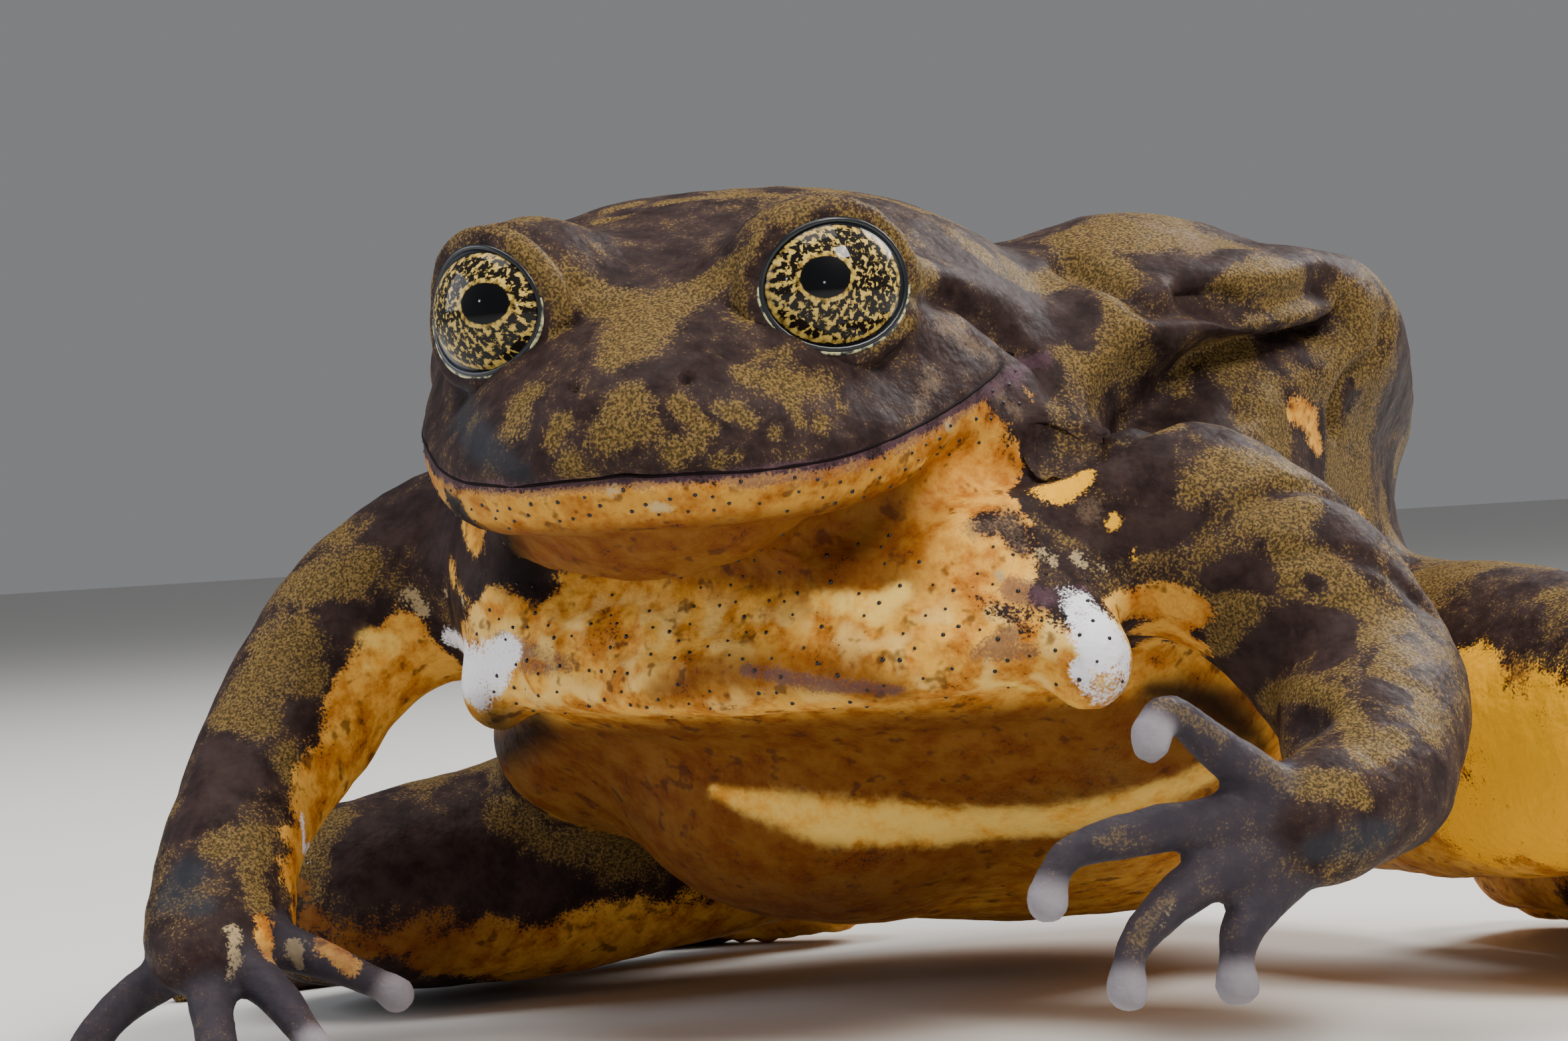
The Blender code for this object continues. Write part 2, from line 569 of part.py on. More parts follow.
def only(mesh, keep):
    """A copy of the mesh with just the vertices marked in keep."""
    bm = bmesh.new()
    bm.from_mesh(mesh)
    doomed = [vert for vert in bm.verts if not keep[vert.index]]
    bmesh.ops.delete(bm, geom=doomed, context="VERTS")
    part = bpy.data.meshes.new("part")
    bm.to_mesh(part)
    bm.free()
    return part


def finish_part(name, mesh, colour, roughness, place):
    mesh.transform(place)
    mesh.name = name
    thing = new_object(name, mesh)
    skin = bpy.data.materials.new(name + "_skin")
    skin.use_nodes = True
    shader = skin.node_tree.nodes["Principled BSDF"]
    shader.inputs["Base Color"].default_value = (*colour, 1.0)
    shader.inputs["Roughness"].default_value = roughness
    shader.inputs["Metallic"].default_value = 0.0
    mesh.materials.clear()
    mesh.materials.append(skin)
    mesh.shade_smooth()
    mesh.set_sharp_from_angle(angle=math.radians(50))


def main():
    for thing in list(bpy.data.objects):
        bpy.data.objects.remove(thing)
    skin = thinned(model_skin())
    for row in PLATES:
        skin = cut(skin, plate(*row))
    skin = cut(skin, neck_box())
    skin = cut(skin, mouth_blade())
    for side in (1, -1):
        socket = bmesh.new()
        add_ball(socket, eye_frame(side)[0], (EYE_RADIUS + GAP,) * 3, segments=40)
        skin = cut(skin, socket)
        nostril = bmesh.new()
        add_ball(nostril, in_head((side * NOSTRIL[0], *NOSTRIL[1:])), (NOSTRIL_RADIUS,) * 3, segments=10)
        skin = cut(skin, nostril)

    co = coordinates(skin)
    middle = (co.min(0) + co.max(0)) / 2
    place = Matrix.Scale(MILLIMETRE, 4) @ Matrix.Translation((-middle[0], -middle[1], -co[:, 2].min()))
    group = shells_of(skin)
    for name, (point, colour, roughness) in SUB_PARTS.items():
        nearest = np.argmin(np.linalg.norm(co - point, axis=1))
        finish_part(name, only(skin, group == group[nearest]), colour, roughness, place)
    for side, name in ((1, "eye_left"), (-1, "eye_right")):
        bm = bmesh.new()
        add_ball(bm, eye_frame(side)[0], (EYE_RADIUS,) * 3, segments=28)
        eye = bpy.data.meshes.new(name)
        bm.to_mesh(eye)
        bm.free()
        finish_part(name, eye, (0.3, 0.22, 0.08), 0.1, place)


main()
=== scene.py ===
"""Sehuencas water frog, Telmatobius yuracare: the looks of a still, life-size model such as a museum shows.

The script works in millimetres, in the frog's own frame: nose along -Y, its left side along +X, floor at
z = 0, origin under the middle of the eyes. PLACE then takes each finished mesh to the model's frame.
"""

import math

import bmesh
import bpy
import numpy as np
from mathutils import Euler, Matrix, Vector
from mathutils.bvhtree import BVHTree
from mathutils.noise import noise as perlin


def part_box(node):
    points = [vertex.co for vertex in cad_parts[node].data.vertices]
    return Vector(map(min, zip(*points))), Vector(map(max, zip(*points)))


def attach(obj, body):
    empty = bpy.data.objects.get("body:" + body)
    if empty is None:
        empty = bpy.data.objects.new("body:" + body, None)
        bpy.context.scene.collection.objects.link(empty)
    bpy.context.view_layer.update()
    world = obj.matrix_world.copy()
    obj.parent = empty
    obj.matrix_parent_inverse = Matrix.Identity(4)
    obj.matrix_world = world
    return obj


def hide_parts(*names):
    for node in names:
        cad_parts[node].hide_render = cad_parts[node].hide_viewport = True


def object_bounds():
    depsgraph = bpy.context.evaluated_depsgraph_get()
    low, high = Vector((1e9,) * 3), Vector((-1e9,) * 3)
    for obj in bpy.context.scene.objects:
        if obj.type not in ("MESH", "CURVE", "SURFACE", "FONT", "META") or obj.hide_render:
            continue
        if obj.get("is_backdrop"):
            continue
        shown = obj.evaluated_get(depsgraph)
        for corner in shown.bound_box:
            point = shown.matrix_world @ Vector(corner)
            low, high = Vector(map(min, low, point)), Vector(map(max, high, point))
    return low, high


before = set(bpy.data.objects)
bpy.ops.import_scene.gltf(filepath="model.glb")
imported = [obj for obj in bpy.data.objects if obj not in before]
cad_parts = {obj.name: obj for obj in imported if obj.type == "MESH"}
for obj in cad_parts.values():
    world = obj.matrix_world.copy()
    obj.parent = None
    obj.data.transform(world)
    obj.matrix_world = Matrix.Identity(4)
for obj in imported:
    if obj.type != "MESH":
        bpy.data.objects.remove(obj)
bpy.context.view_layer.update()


# The head's seat and the eyeballs, which every other size of the head is measured from. A frog has no neck,
# so the head is tipped and turned as one with the trunk; the eyes look out and a little up.
HEAD_PLACE = (-0.5, -0.1, 26.7)
HEAD_YAW = 13.0
HEAD_PITCH = 13.0
EYE_RADIUS = 2.85
EYE_PLACE = (5.45, -0.6, -0.1)
EYE_OUTWARD = 29.0
EYE_UPWARD = 13.0
MILLIMETRE = 0.001

tilt = Euler((math.radians(HEAD_PITCH), 0.0, math.radians(HEAD_YAW)), "XYZ")
HEAD = Matrix.Translation(HEAD_PLACE) @ tilt.to_matrix().to_4x4()
LEFT, RIGHT = 1, -1


def eye_axes(side):
    """Centre of an eyeball, and the ways across it, up it and out of it."""
    outward, upward = math.radians(EYE_OUTWARD), math.radians(EYE_UPWARD)
    look = Vector((side * math.sin(outward) * math.cos(upward), -math.cos(outward) * math.cos(upward),
                   math.sin(upward)))
    centre = HEAD @ Vector((side * EYE_PLACE[0], EYE_PLACE[1], EYE_PLACE[2]))
    look = (HEAD.to_3x3() @ look).normalized()
    across = look.cross(HEAD.to_3x3() @ Vector((0.0, 0.0, side))).normalized()
    up = side * across.cross(look)
    return centre, across, up, look


low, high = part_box("eye_left")
shift = (low + high) / 2 / MILLIMETRE - eye_axes(LEFT)[0]
PLACE = Matrix.Scale(MILLIMETRE, 4) @ Matrix.Translation(shift)


# Plain pale floor, soft studio lamps and the camera. The floor is matt board, the lamps are large soft
# boxes, and the camera stands level with the frog's breast, a little rolled, as in the photograph.
def linear(colour):
    """An sRGB hex colour as linear light."""
    parts = [int(colour[k:k + 2], 16) / 255 for k in (1, 3, 5)]
    return (*(p / 12.92 if p <= 0.04045 else ((p + 0.055) / 1.055) ** 2.4 for p in parts), 1.0)


def add(kind, *values, out=None, **named):
    """One node of the material in hand. The values fill its sockets in order; of the named ones, capital
    names are sockets and the others are settings. A value is a link, a number or a colour in hex."""
    made = tree.nodes.new("ShaderNode" + kind)
    for name, value in named.items():
        if name.islower():
            setattr(made, name, value)
    filled = list(zip([socket for socket in made.inputs if socket.enabled], values))
    filled += [(made.inputs[name.replace("_", " ")], value) for name, value in named.items()
               if not name.islower()]
    for socket, value in filled:
        if isinstance(value, bpy.types.NodeSocket):
            tree.links.new(value, socket)
        else:
            socket.default_value = linear(value) if isinstance(value, str) else value
    return made.outputs[out] if out else next(socket for socket in made.outputs if socket.enabled)


def new_material(name, **fixed):
    """A material, its tree and its shader, whose fixed values sit on the shader's own sockets."""
    material = bpy.data.materials.new(name)
    material.use_nodes = True
    shader = material.node_tree.nodes["Principled BSDF"]
    for socket, value in fixed.items():
        value = linear(value) if isinstance(value, str) else value
        shader.inputs[socket.replace("_", " ")].default_value = value
    return material, material.node_tree, shader


def new_object(name, mesh, material=None):
    thing = bpy.data.objects.new(name, mesh)
    bpy.context.scene.collection.objects.link(thing)
    if material:
        mesh.materials.append(material)
    return thing


FLOOR_RADIUS = 3000.0 * MILLIMETRE
CAMERA_TURN = 26.0
CAMERA_ROLL = 3.5
CAMERA_DISTANCE = 150.0
CAMERA_HEIGHT = 18.7
CAMERA_ASIDE = 2.9
FOCAL_LENGTH = 100.0
# Name, place, size, power and tint of each lamp; the last two are catchlights for the eyes.
LAMPS = (
    ("key_softbox", (248.0, -111.0, 308.0), 110.0, 1.5, (1.0, 0.97, 0.93)),
    ("top_softbox", (-30.0, -30.0, 450.0), 300.0, 1.45, (1.0, 0.98, 0.95)),
    ("side_softbox", (-330.0, -120.0, 160.0), 220.0, 0.6, (0.86, 0.9, 1.0)),
    ("back_softbox", (120.0, 330.0, 260.0), 220.0, 1.6, (1.0, 1.0, 1.0)),
    ("left_eye_lamp", (101.0, -177.0, 51.0), 9.0, 0.01, (0.85, 0.93, 1.0)),
    ("right_eye_lamp", (-80.0, -183.0, 78.0), 9.0, 0.01, (0.85, 0.93, 1.0)),
)
LAMP_TARGET = (0.0, 5.0, 16.0)

board = bpy.data.meshes.new("floor")
bm = bmesh.new()
bmesh.ops.create_circle(bm, cap_ends=True, segments=96, radius=FLOOR_RADIUS)
bm.to_mesh(board)
bm.free()
board_material, tree, shader = new_material("matt_pale_board", Base_Color="#d9d8d4", Roughness=0.75)
new_object("floor", board, board_material)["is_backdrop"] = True

for name, place, size, power, tint in LAMPS:
    lamp = bpy.data.lights.new(name, "AREA")
    lamp.size = size * MILLIMETRE
    lamp.energy = power
    lamp.color = tint
    holder = bpy.data.objects.new(name, lamp)
    bpy.context.scene.collection.objects.link(holder)
    aim = (Vector(LAMP_TARGET) - Vector(place)).to_track_quat("-Z", "Y")
    holder.matrix_world = Matrix.Translation(PLACE @ Vector(place)) @ aim.to_matrix().to_4x4()

world = bpy.data.worlds.new("studio")
world.use_nodes = True
sky = world.node_tree.nodes["Background"].inputs
sky["Color"].default_value = linear("#dcdde0")
sky["Strength"].default_value = 0.3
bpy.context.scene.world = world

turn, roll = math.radians(CAMERA_TURN), math.radians(CAMERA_ROLL)
level = Vector((math.cos(turn), math.sin(turn), 0.0))
away = Vector((-math.sin(turn), math.cos(turn), 0.0))
rise = Vector((0.0, 0.0, 1.0))
seat = CAMERA_ASIDE * level - CAMERA_DISTANCE * away + CAMERA_HEIGHT * rise
lens = bpy.data.cameras.new("camera")
lens.lens = FOCAL_LENGTH
lens.sensor_width = 36.0
lens.clip_start = 0.001
camera = bpy.data.objects.new("camera", lens)
bpy.context.scene.collection.objects.link(camera)
sideways = level * math.cos(roll) - rise * math.sin(roll)
upright = level * math.sin(roll) + rise * math.cos(roll)
camera.matrix_world = (Matrix.Translation(PLACE @ seat)
                       @ Matrix((sideways, upright, -away)).transposed().to_4x4())
bpy.context.scene.camera = camera


# Skin of the trunk and head: one wet, loose skin over soft flesh. Rings give the shell of each, balls and
# ropes of balls add the heaps of loose skin, and fusing them like clay leaves one closed surface.
# The head, ring by ring from the snout back, in its own frame, whose origin is midway between the eyes:
# place along Y, half width, top, bottom, height of the widest line, roundness of the roof.
HEAD_RINGS = (
    (-8.5, 1.6, -3.3, -5.4, -4.6, 2.0),
    (-8.1, 3.2, -2.3, -6.1, -4.7, 1.9),
    (-7.3, 4.9, -1.3, -6.9, -4.8, 1.8),
    (-6.0, 6.5, -0.6, -7.7, -4.9, 1.6),
    (-4.4, 7.8, -0.1, -8.4, -4.9, 1.5),
    (-2.0, 9.0, 0.5, -9.0, -4.9, 1.45),
    (1.0, 10.0, 1.4, -9.5, -4.7, 1.7),
    (4.0, 10.5, 2.2, -9.9, -4.5, 2.1),
    (7.0, 11.1, 2.5, -10.5, -4.6, 2.3),
    (10.0, 11.2, 2.0, -11.2, -4.8, 2.3),
    (13.0, 10.4, 1.0, -11.6, -4.6, 2.3),
    (16.0, 8.4, -0.4, -11.0, -4.4, 2.3),
)

# The trunk, ring by ring from the chest back, as for the head.
TRUNK_MIDDLE = -0.9
TRUNK_RINGS = (
    (2.0, 9.5, 20.0, 13.2, 16.5, 2.4),
    (5.0, 12.3, 23.5, 11.9, 16.0, 2.5),
    (9.0, 13.6, 26.0, 9.8, 15.5, 2.7),
    (13.0, 15.2, 27.6, 6.6, 15.0, 3.0),
    (18.0, 16.1, 28.6, 3.9, 15.5, 3.4),
    (24.0, 16.2, 29.0, 2.5, 16.0, 3.6),
    (30.0, 15.9, 28.8, 1.9, 15.5, 3.4),
    (35.5, 14.2, 26.4, 2.0, 14.0, 3.0),
    (40.0, 11.2, 21.6, 3.2, 12.0, 2.6),
    (43.0, 7.0, 15.8, 5.2, 10.5, 2.4),
    (44.8, 3.4, 12.6, 7.2, 9.8, 2.2),
)

BELLY_ROUNDNESS = 2.4
EYE_MOUND = (3.6, 3.9, 3.5)
EYE_MOUND_SINK = 0.9
EYE_MOUND_RISE = 0.1
BODY_CLAY = 0.6

# Single balls of flesh: centre and radii of the breast, of the belly where it sags to the right, of the bump
# that hangs at each armpit, and of the loose skin heaped on each side of the spine.
BREAST = ((1.5, 6.6, 16.0), (12.6, 6.2, 4.1))
BELLY_SAGS = (((-11.0, 19.2, 10.8), (7.8, 8.0, 4.4)), ((-3.6, 19.0, 9.3), (9.2, 10.5, 6.4)))
ARMPIT_BUMPS = (((12.9, 2.8, 13.4), (1.6, 1.5, 1.9)), ((-10.6, 4.0, 13.5), (1.6, 1.5, 1.9)))
BACK_HEAPS = (((7.6, 21.5, 24.3), (7.0, 9.0, 5.4)), ((-8.6, 22.5, 24.0), (6.6, 9.0, 5.2)))

# Ropes of balls, which give the rolls of skin, the limbs, the fingers and the toes: x, y, z, radius across,
# radius up.
CHEST_FOLD = (
    (-10.4, 4.4, 14.0, 1.7, 1.7),
    (-5.5, 2.2, 13.6, 1.8, 1.7),
    (1.0, 1.1, 13.5, 1.8, 1.7),
    (7.5, 1.6, 13.7, 1.8, 1.7),
    (12.6, 3.2, 14.2, 1.6, 1.7),
)
FLANK_ROLLS = (
    ((10.6, 13.5, 24.0, 2.6, 2.8), (13.6, 20.0, 24.8, 2.9, 3.1), (14.2, 27.0, 24.4, 2.8, 3.3),
     (12.2, 34.5, 21.4, 2.6, 3.0)),
    ((-12.4, 13.5, 23.4, 2.6, 2.8), (-15.2, 20.0, 23.8, 2.8, 3.1), (-15.6, 27.0, 23.4, 2.8, 3.3),
     (-13.6, 34.5, 20.8, 2.6, 3.0)),
)
UPPER_ARM_LEFT = (
    (9.5, 9.0, 18.2, 4.4, 4.6),
    (14.0, 8.4, 17.8, 4.0, 4.0),
    (18.0, 8.8, 15.4, 3.8, 3.9),
    (20.4, 9.2, 12.0, 3.6, 3.7),
)
FOREARM_LEFT = (
    (20.9, 8.6, 11.3, 3.5, 3.5),
    (21.9, 5.4, 10.4, 3.3, 3.2),
    (22.8, 2.4, 9.2, 2.9, 2.8),
    (22.9, 0.4, 8.6, 2.6, 2.3),
)
UPPER_ARM_RIGHT = (
    (-9.5, 12.0, 17.8, 4.4, 4.6),
    (-14.2, 10.8, 18.0, 4.1, 4.2),
    (-18.2, 8.8, 16.4, 3.7, 3.8),
    (-20.4, 6.8, 13.4, 3.3, 3.4),
)
FOREARM_RIGHT = (
    (-20.6, 6.3, 12.6, 3.3, 3.5),
    (-20.9, 3.4, 10.0, 2.8, 2.9),
    (-20.4, 0.6, 7.8, 2.7, 2.6),
    (-19.9, -1.0, 6.0, 2.8, 2.1),
)
PALM_LEFT = (
    (22.9, 0.2, 8.5, 2.5, 2.2),
    (22.4, -1.8, 8.2, 2.2, 2.3),
    (21.5, -3.4, 7.9, 1.4, 2.0),
)
PALM_RIGHT = (
    (-19.8, -1.1, 5.8, 2.9, 2.0),
    (-19.2, -2.4, 4.8, 2.9, 1.5),
    (-18.7, -3.5, 4.0, 2.1, 1.1),
)
FINGERS_LEFT = (
    ((21.6, -3.0, 9.0, 1.0, 1.0), (20.5, -5.2, 10.6, 0.75, 0.75), (19.5, -7.0, 12.0, 0.6, 0.6),
     (19.2, -7.9, 11.3, 0.7, 0.8)),
    ((21.2, -3.5, 8.5, 1.0, 1.0), (18.9, -6.9, 8.4, 0.72, 0.76), (17.0, -9.1, 8.0, 0.55, 0.55),
     (16.5, -9.8, 7.3, 0.52, 0.52), (16.3, -10.0, 6.5, 0.68, 0.72)),
    ((21.4, -3.5, 7.3, 1.0, 1.0), (19.7, -6.2, 6.6, 0.8, 0.8), (18.6, -8.1, 5.3, 0.58, 0.58),
     (18.3, -8.7, 4.4, 0.52, 0.52), (18.3, -8.9, 3.6, 0.68, 0.68)),
    ((21.6, -3.0, 6.7, 1.0, 1.0), (20.9, -5.0, 5.3, 0.75, 0.75), (20.8, -5.7, 4.2, 0.54, 0.54),
     (20.8, -5.9, 3.4, 0.68, 0.68)),
)
FINGERS_RIGHT = (
    ((-17.3, -1.9, 4.8, 0.95, 0.95), (-15.1, -1.4, 3.9, 0.72, 0.7), (-13.5, -0.9, 3.1, 0.55, 0.55),
     (-12.9, -0.7, 2.7, 0.68, 0.64)),
    ((-17.6, -3.4, 4.2, 0.95, 0.95), (-15.5, -4.2, 2.9, 0.75, 0.7), (-14.2, -4.7, 1.8, 0.58, 0.55),
     (-13.7, -4.9, 1.3, 0.7, 0.65)),
    ((-18.6, -3.9, 3.8, 0.95, 0.95), (-17.3, -5.8, 2.1, 0.78, 0.72), (-15.8, -7.4, 0.62, 0.72, 0.62)),
    ((-20.2, -3.1, 4.2, 0.95, 0.95), (-22.5, -4.2, 2.6, 0.78, 0.72), (-23.8, -5.4, 0.62, 0.72, 0.62)),
)
THIGH_LEFT = (
    (6.0, 36.0, 9.4, 5.5, 5.5),
    (13.0, 31.4, 9.6, 5.8, 6.2),
    (21.0, 24.0, 9.6, 5.3, 6.2),
    (27.4, 18.4, 9.4, 4.1, 5.0),
)
SHANK_LEFT = (
    (28.8, 18.2, 7.6, 3.6, 4.2),
    (29.8, 22.6, 5.8, 3.6, 4.2),
    (25.4, 31.0, 4.8, 3.4, 3.8),
    (17.0, 38.2, 3.8, 2.5, 2.8),
)
THIGH_RIGHT = (
    (-6.0, 35.0, 8.6, 5.5, 5.5),
    (-13.0, 29.5, 7.2, 5.7, 5.4),
    (-19.0, 21.5, 5.4, 5.1, 4.8),
    (-23.8, 15.4, 4.8, 4.0, 4.1),
)
SHANK_RIGHT = (
    (-25.6, 15.0, 4.8, 3.4, 3.8),
    (-27.4, 19.5, 4.5, 3.5, 3.8),
    (-24.0, 28.5, 4.2, 3.4, 3.6),
    (-17.0, 37.5, 3.8, 2.5, 2.8),
)
FOOT_ROOT = ((15.2, 40.2, 2.4, 2.2, 2.1), (20.6, 39.4, 1.8, 2.0, 1.8), (26.4, 36.8, 1.4, 2.2, 1.3))
TOE_ROOT = (26.2, 36.9, 1.0)
TOE_TIPS = ((31.2, 27.0), (33.2, 22.6), (36.0, 20.0), (38.4, 24.8), (37.6, 30.8))
FOOT_SHIFTS = {1: (2.2, 0.8), -1: (0.0, 0.0)}
TOE_RADIUS = 0.85
WEB_REACH = 0.72
WEB_HALF = 0.36


def smooth_curve(points, spacing):
    """Rows read from a smooth curve through the given rows, about one for each spacing of length."""
    rows = np.array(points, float)
    rows = np.vstack((2 * rows[0] - rows[1], rows, 2 * rows[-1] - rows[-2]))
    out = []
    for before, start, end, after in zip(rows[:-3], rows[1:-2], rows[2:-1], rows[3:]):
        count = max(2, math.ceil(np.linalg.norm((end - start)[:3]) / spacing))
        for t in np.arange(count) / count:
            out.append(0.5 * (2 * start + (end - before) * t
                              + (2 * before - 5 * start + 4 * end - after) * t * t
                              + (3 * start - before - 3 * end + after) * t ** 3))
    out.append(rows[-2])
    return np.array(out)


def add_ball(bm, centre, radii, segments=20):
    place = Matrix.Translation(centre) @ Matrix.Diagonal((*radii, 1.0))
    bmesh.ops.create_uvsphere(bm, u_segments=segments, v_segments=segments // 2, radius=1.0, matrix=place)


def add_rope(bm, stations):
    """A limb or roll of flesh as a close row of balls along a smooth curve."""
    rope = bmesh.new()
    for x, y, z, across, up in smooth_curve(stations, 0.55 * min(row[3] for row in stations)):
        add_ball(rope, (x, y, z), (across, across, up), segments=14)
    mesh = bpy.data.meshes.new("rope")
    rope.to_mesh(mesh)
    rope.free()
    bm.from_mesh(mesh)
    bpy.data.meshes.remove(mesh)


def add_shell(bm, rings, place, sides=56):
    """A ball pulled over rings across Y, each with its own width, top, bottom and roundness."""
    rings = smooth_curve([(row[0], 0.0, 0.0, *row[1:]) for row in rings], 0.8)
    count = len(rings)
    ball = bmesh.ops.create_uvsphere(bm, u_segments=sides, v_segments=count + 1, radius=1.0)
    for vert in ball["verts"]:
        around = math.atan2(vert.co.y, vert.co.x)
        step = math.acos(max(-1.0, min(1.0, vert.co.z))) / math.pi * (count + 1) - 1.0
        y, _, _, half, top, bottom, widest, roof = rings[min(max(round(step), 0), count - 1)]
        if math.hypot(vert.co.x, vert.co.y) < 1e-4:
            vert.co = place @ Vector((0.0, y, widest))
            continue
        across, up = math.cos(around), math.sin(around)
        height, power = (top - widest, 2 / roof) if up > 0 else (widest - bottom, 2 / BELLY_ROUNDNESS)
        vert.co = place @ Vector((
            half * math.copysign(abs(across) ** power, across), y,
            widest + height * math.copysign(abs(up) ** power, up)))


def applied(thing):
    """The object's mesh with its modifiers applied, and the object itself removed."""
    graph = bpy.context.evaluated_depsgraph_get()
    graph.update()
    mesh = bpy.data.meshes.new_from_object(thing.evaluated_get(graph))
    bpy.data.objects.remove(thing)
    return mesh


def fused(bm, voxel):
    """One closed skin round everything in the bmesh."""
    mesh = bpy.data.meshes.new("clay")
    bm.to_mesh(mesh)
    bm.free()
    clay = new_object("clay", mesh)
    remesh = clay.modifiers.new("fuse", "REMESH")
    remesh.mode = "VOXEL"
    remesh.voxel_size = voxel
    return applied(clay)


def coordinates(mesh):
    co = np.empty(len(mesh.vertices) * 3)
    mesh.vertices.foreach_get("co", co)
    return co.reshape(-1, 3)


def normals(mesh):
    normal = np.empty(len(mesh.vertices) * 3)
    mesh.vertices.foreach_get("normal", normal)
    return normal.reshape(-1, 3)


def put_coordinates(mesh, co):
    mesh.vertices.foreach_set("co", co.ravel())
    mesh.update()


def relax(mesh, rounds, keep_volume=True):
    """Smooths the skin. Each second round swells it again, so that thin fingers don't shrink."""
    co = coordinates(mesh)
    edges = np.empty(len(mesh.edges) * 2, int)
    mesh.edges.foreach_get("vertices", edges)
    a, b = edges.reshape(-1, 2).T
    count = len(co)
    degree = np.bincount(a, minlength=count) + np.bincount(b, minlength=count)
    for turn in range(rounds):
        total = np.stack([np.bincount(a, co[b, k], count) + np.bincount(b, co[a, k], count)
                          for k in range(3)], 1)
        amount = -0.53 if keep_volume and turn % 2 else 0.5
        co = co + amount * (total / degree[:, None] - co)
    put_coordinates(mesh, co)


bm = bmesh.new()
add_shell(bm, HEAD_RINGS, HEAD)
add_shell(bm, TRUNK_RINGS, Matrix.Translation((TRUNK_MIDDLE, 0.0, 0.0)))
for side in (LEFT, RIGHT):
    centre, across, up, look = eye_axes(side)
    mound = centre - look * EYE_MOUND_SINK + Vector((0.0, 0.0, EYE_MOUND_RISE))
    add_ball(bm, mound, EYE_MOUND, segments=32)
for ball in (BREAST, *BELLY_SAGS, *BACK_HEAPS):
    add_ball(bm, *ball, segments=40)
for rope in (UPPER_ARM_LEFT, UPPER_ARM_RIGHT, THIGH_LEFT, THIGH_RIGHT, CHEST_FOLD, *FLANK_ROLLS):
    add_rope(bm, rope)
skin = fused(bm, BODY_CLAY)
relax(skin, 8, keep_volume=False)


# Forearms, shanks and palms, fused on in finer clay with the bump that hangs at each armpit, and then the
# thin fingers, the toes and the webs between them in the finest, so that each tip keeps its round pad.
LIMB_CLAY = 0.42
FINE_CLAY = 0.24

bm = bmesh.new()
for rope in (FOREARM_LEFT, FOREARM_RIGHT, SHANK_LEFT, SHANK_RIGHT, PALM_LEFT, PALM_RIGHT):
    add_rope(bm, rope)
for bump in ARMPIT_BUMPS:
    add_ball(bm, *bump)
bm.from_mesh(skin)
skin = fused(bm, LIMB_CLAY)
relax(skin, 5, keep_volume=False)


def toes(side):
    """Where the toes of one foot start, and their tips on the floor."""
    out, back = FOOT_SHIFTS[side]
    root = Vector((side * (TOE_ROOT[0] + out), TOE_ROOT[1] + back, TOE_ROOT[2]))
    return root, [Vector((side * (x + out), y + back, 0.0)) for x, y in TOE_TIPS]


def foot(side):
    """Foot clay: the long ankle, five toes and the web between them."""
    out, back = FOOT_SHIFTS[side]
    pieces = [tuple((side * (x + out), y + back, z, across, up) for x, y, z, across, up in FOOT_ROOT)]
    root, tips = toes(side)
    for tip in tips:
        tip.z = 0.62
        middle = root.lerp(tip, 0.5)
        pieces.append(((*root, 1.1, 1.1), (middle.x, middle.y, 0.95, TOE_RADIUS, 0.85), (*tip, 0.72, 0.72)))
    return pieces


def add_web(bm, root, tips):
    """The web as a thin plate fanned between the toes, its free edge bowed in between two tips."""
    for first, second in zip(tips[:-1], tips[1:]):
        ends = [root.lerp(first, WEB_REACH), root.lerp((first + second) / 2, WEB_REACH * 0.82),
                root.lerp(second, WEB_REACH)]
        verts = [bm.verts.new((p.x, p.y, 0.5)) for p in (root, *ends)]
        face = bm.faces.new(verts)
        grown = bmesh.ops.extrude_face_region(bm, geom=[face])
        raised = [item for item in grown["geom"] if isinstance(item, bmesh.types.BMVert)]
        bmesh.ops.translate(bm, verts=raised, vec=(0.0, 0.0, WEB_HALF * 2))
        bmesh.ops.recalc_face_normals(bm, faces=list({f for v in verts + raised for f in v.link_faces}))


bm = bmesh.new()
for rope in FINGERS_LEFT + FINGERS_RIGHT:
    add_rope(bm, rope)
for side in (LEFT, RIGHT):
    for rope in foot(side):
        add_rope(bm, rope)
    add_web(bm, *toes(side))
bm.from_mesh(skin)
skin = fused(bm, FINE_CLAY)
relax(skin, 8)


# Lids, mouth, nostrils and folds, pressed into the soft skin as a thumb and a wire loop would. A lid is a
# rounded roll that lies on the eyeball; a fold is a groove with a roll of loose skin beside it.
OPENING_WIDE = 2.5
OPENING_HIGH = 2.15
LID_PROFILE = ((-0.6, -0.5), (-0.2, -0.3), (0.0, 0.02), (0.14, 0.26), (0.4, 0.5), (0.8, 0.55), (1.6, 0.6))
LID_BLEND = (0.7, 2.2)
LID_REACH = (1.9, 2.7)
MOUTH_LINE = (
    (10.1, 6.2, -4.2), (9.9, 4.0, -4.3), (9.2, 1.0, -4.5), (8.3, -2.0, -4.75), (6.9, -4.6, -4.9),
    (5.2, -6.5, -4.85), (2.7, -8.0, -4.65), (0.0, -8.5, -4.5),
)
CHEEK_ROLL = ((7.6, 2.4, -0.2), (8.8, 4.2, -1.2), (9.9, 6.4, -2.6), (11.0, 8.6, -4.8), (11.2, 9.8, -7.6))
NOSTRIL = (2.0, -7.1, -1.5)
UNDER_LIP = ((9.2, 2.5, -7.4), (7.8, -0.6, -7.5), (5.6, -3.6, -7.4), (3.2, -5.6, -7.3), (0.0, -6.5, -7.2))
THROAT_POUCH = ((6.2, 0.0, -9.2), (3.5, -2.6, -9.0), (0.0, -3.4, -8.9))


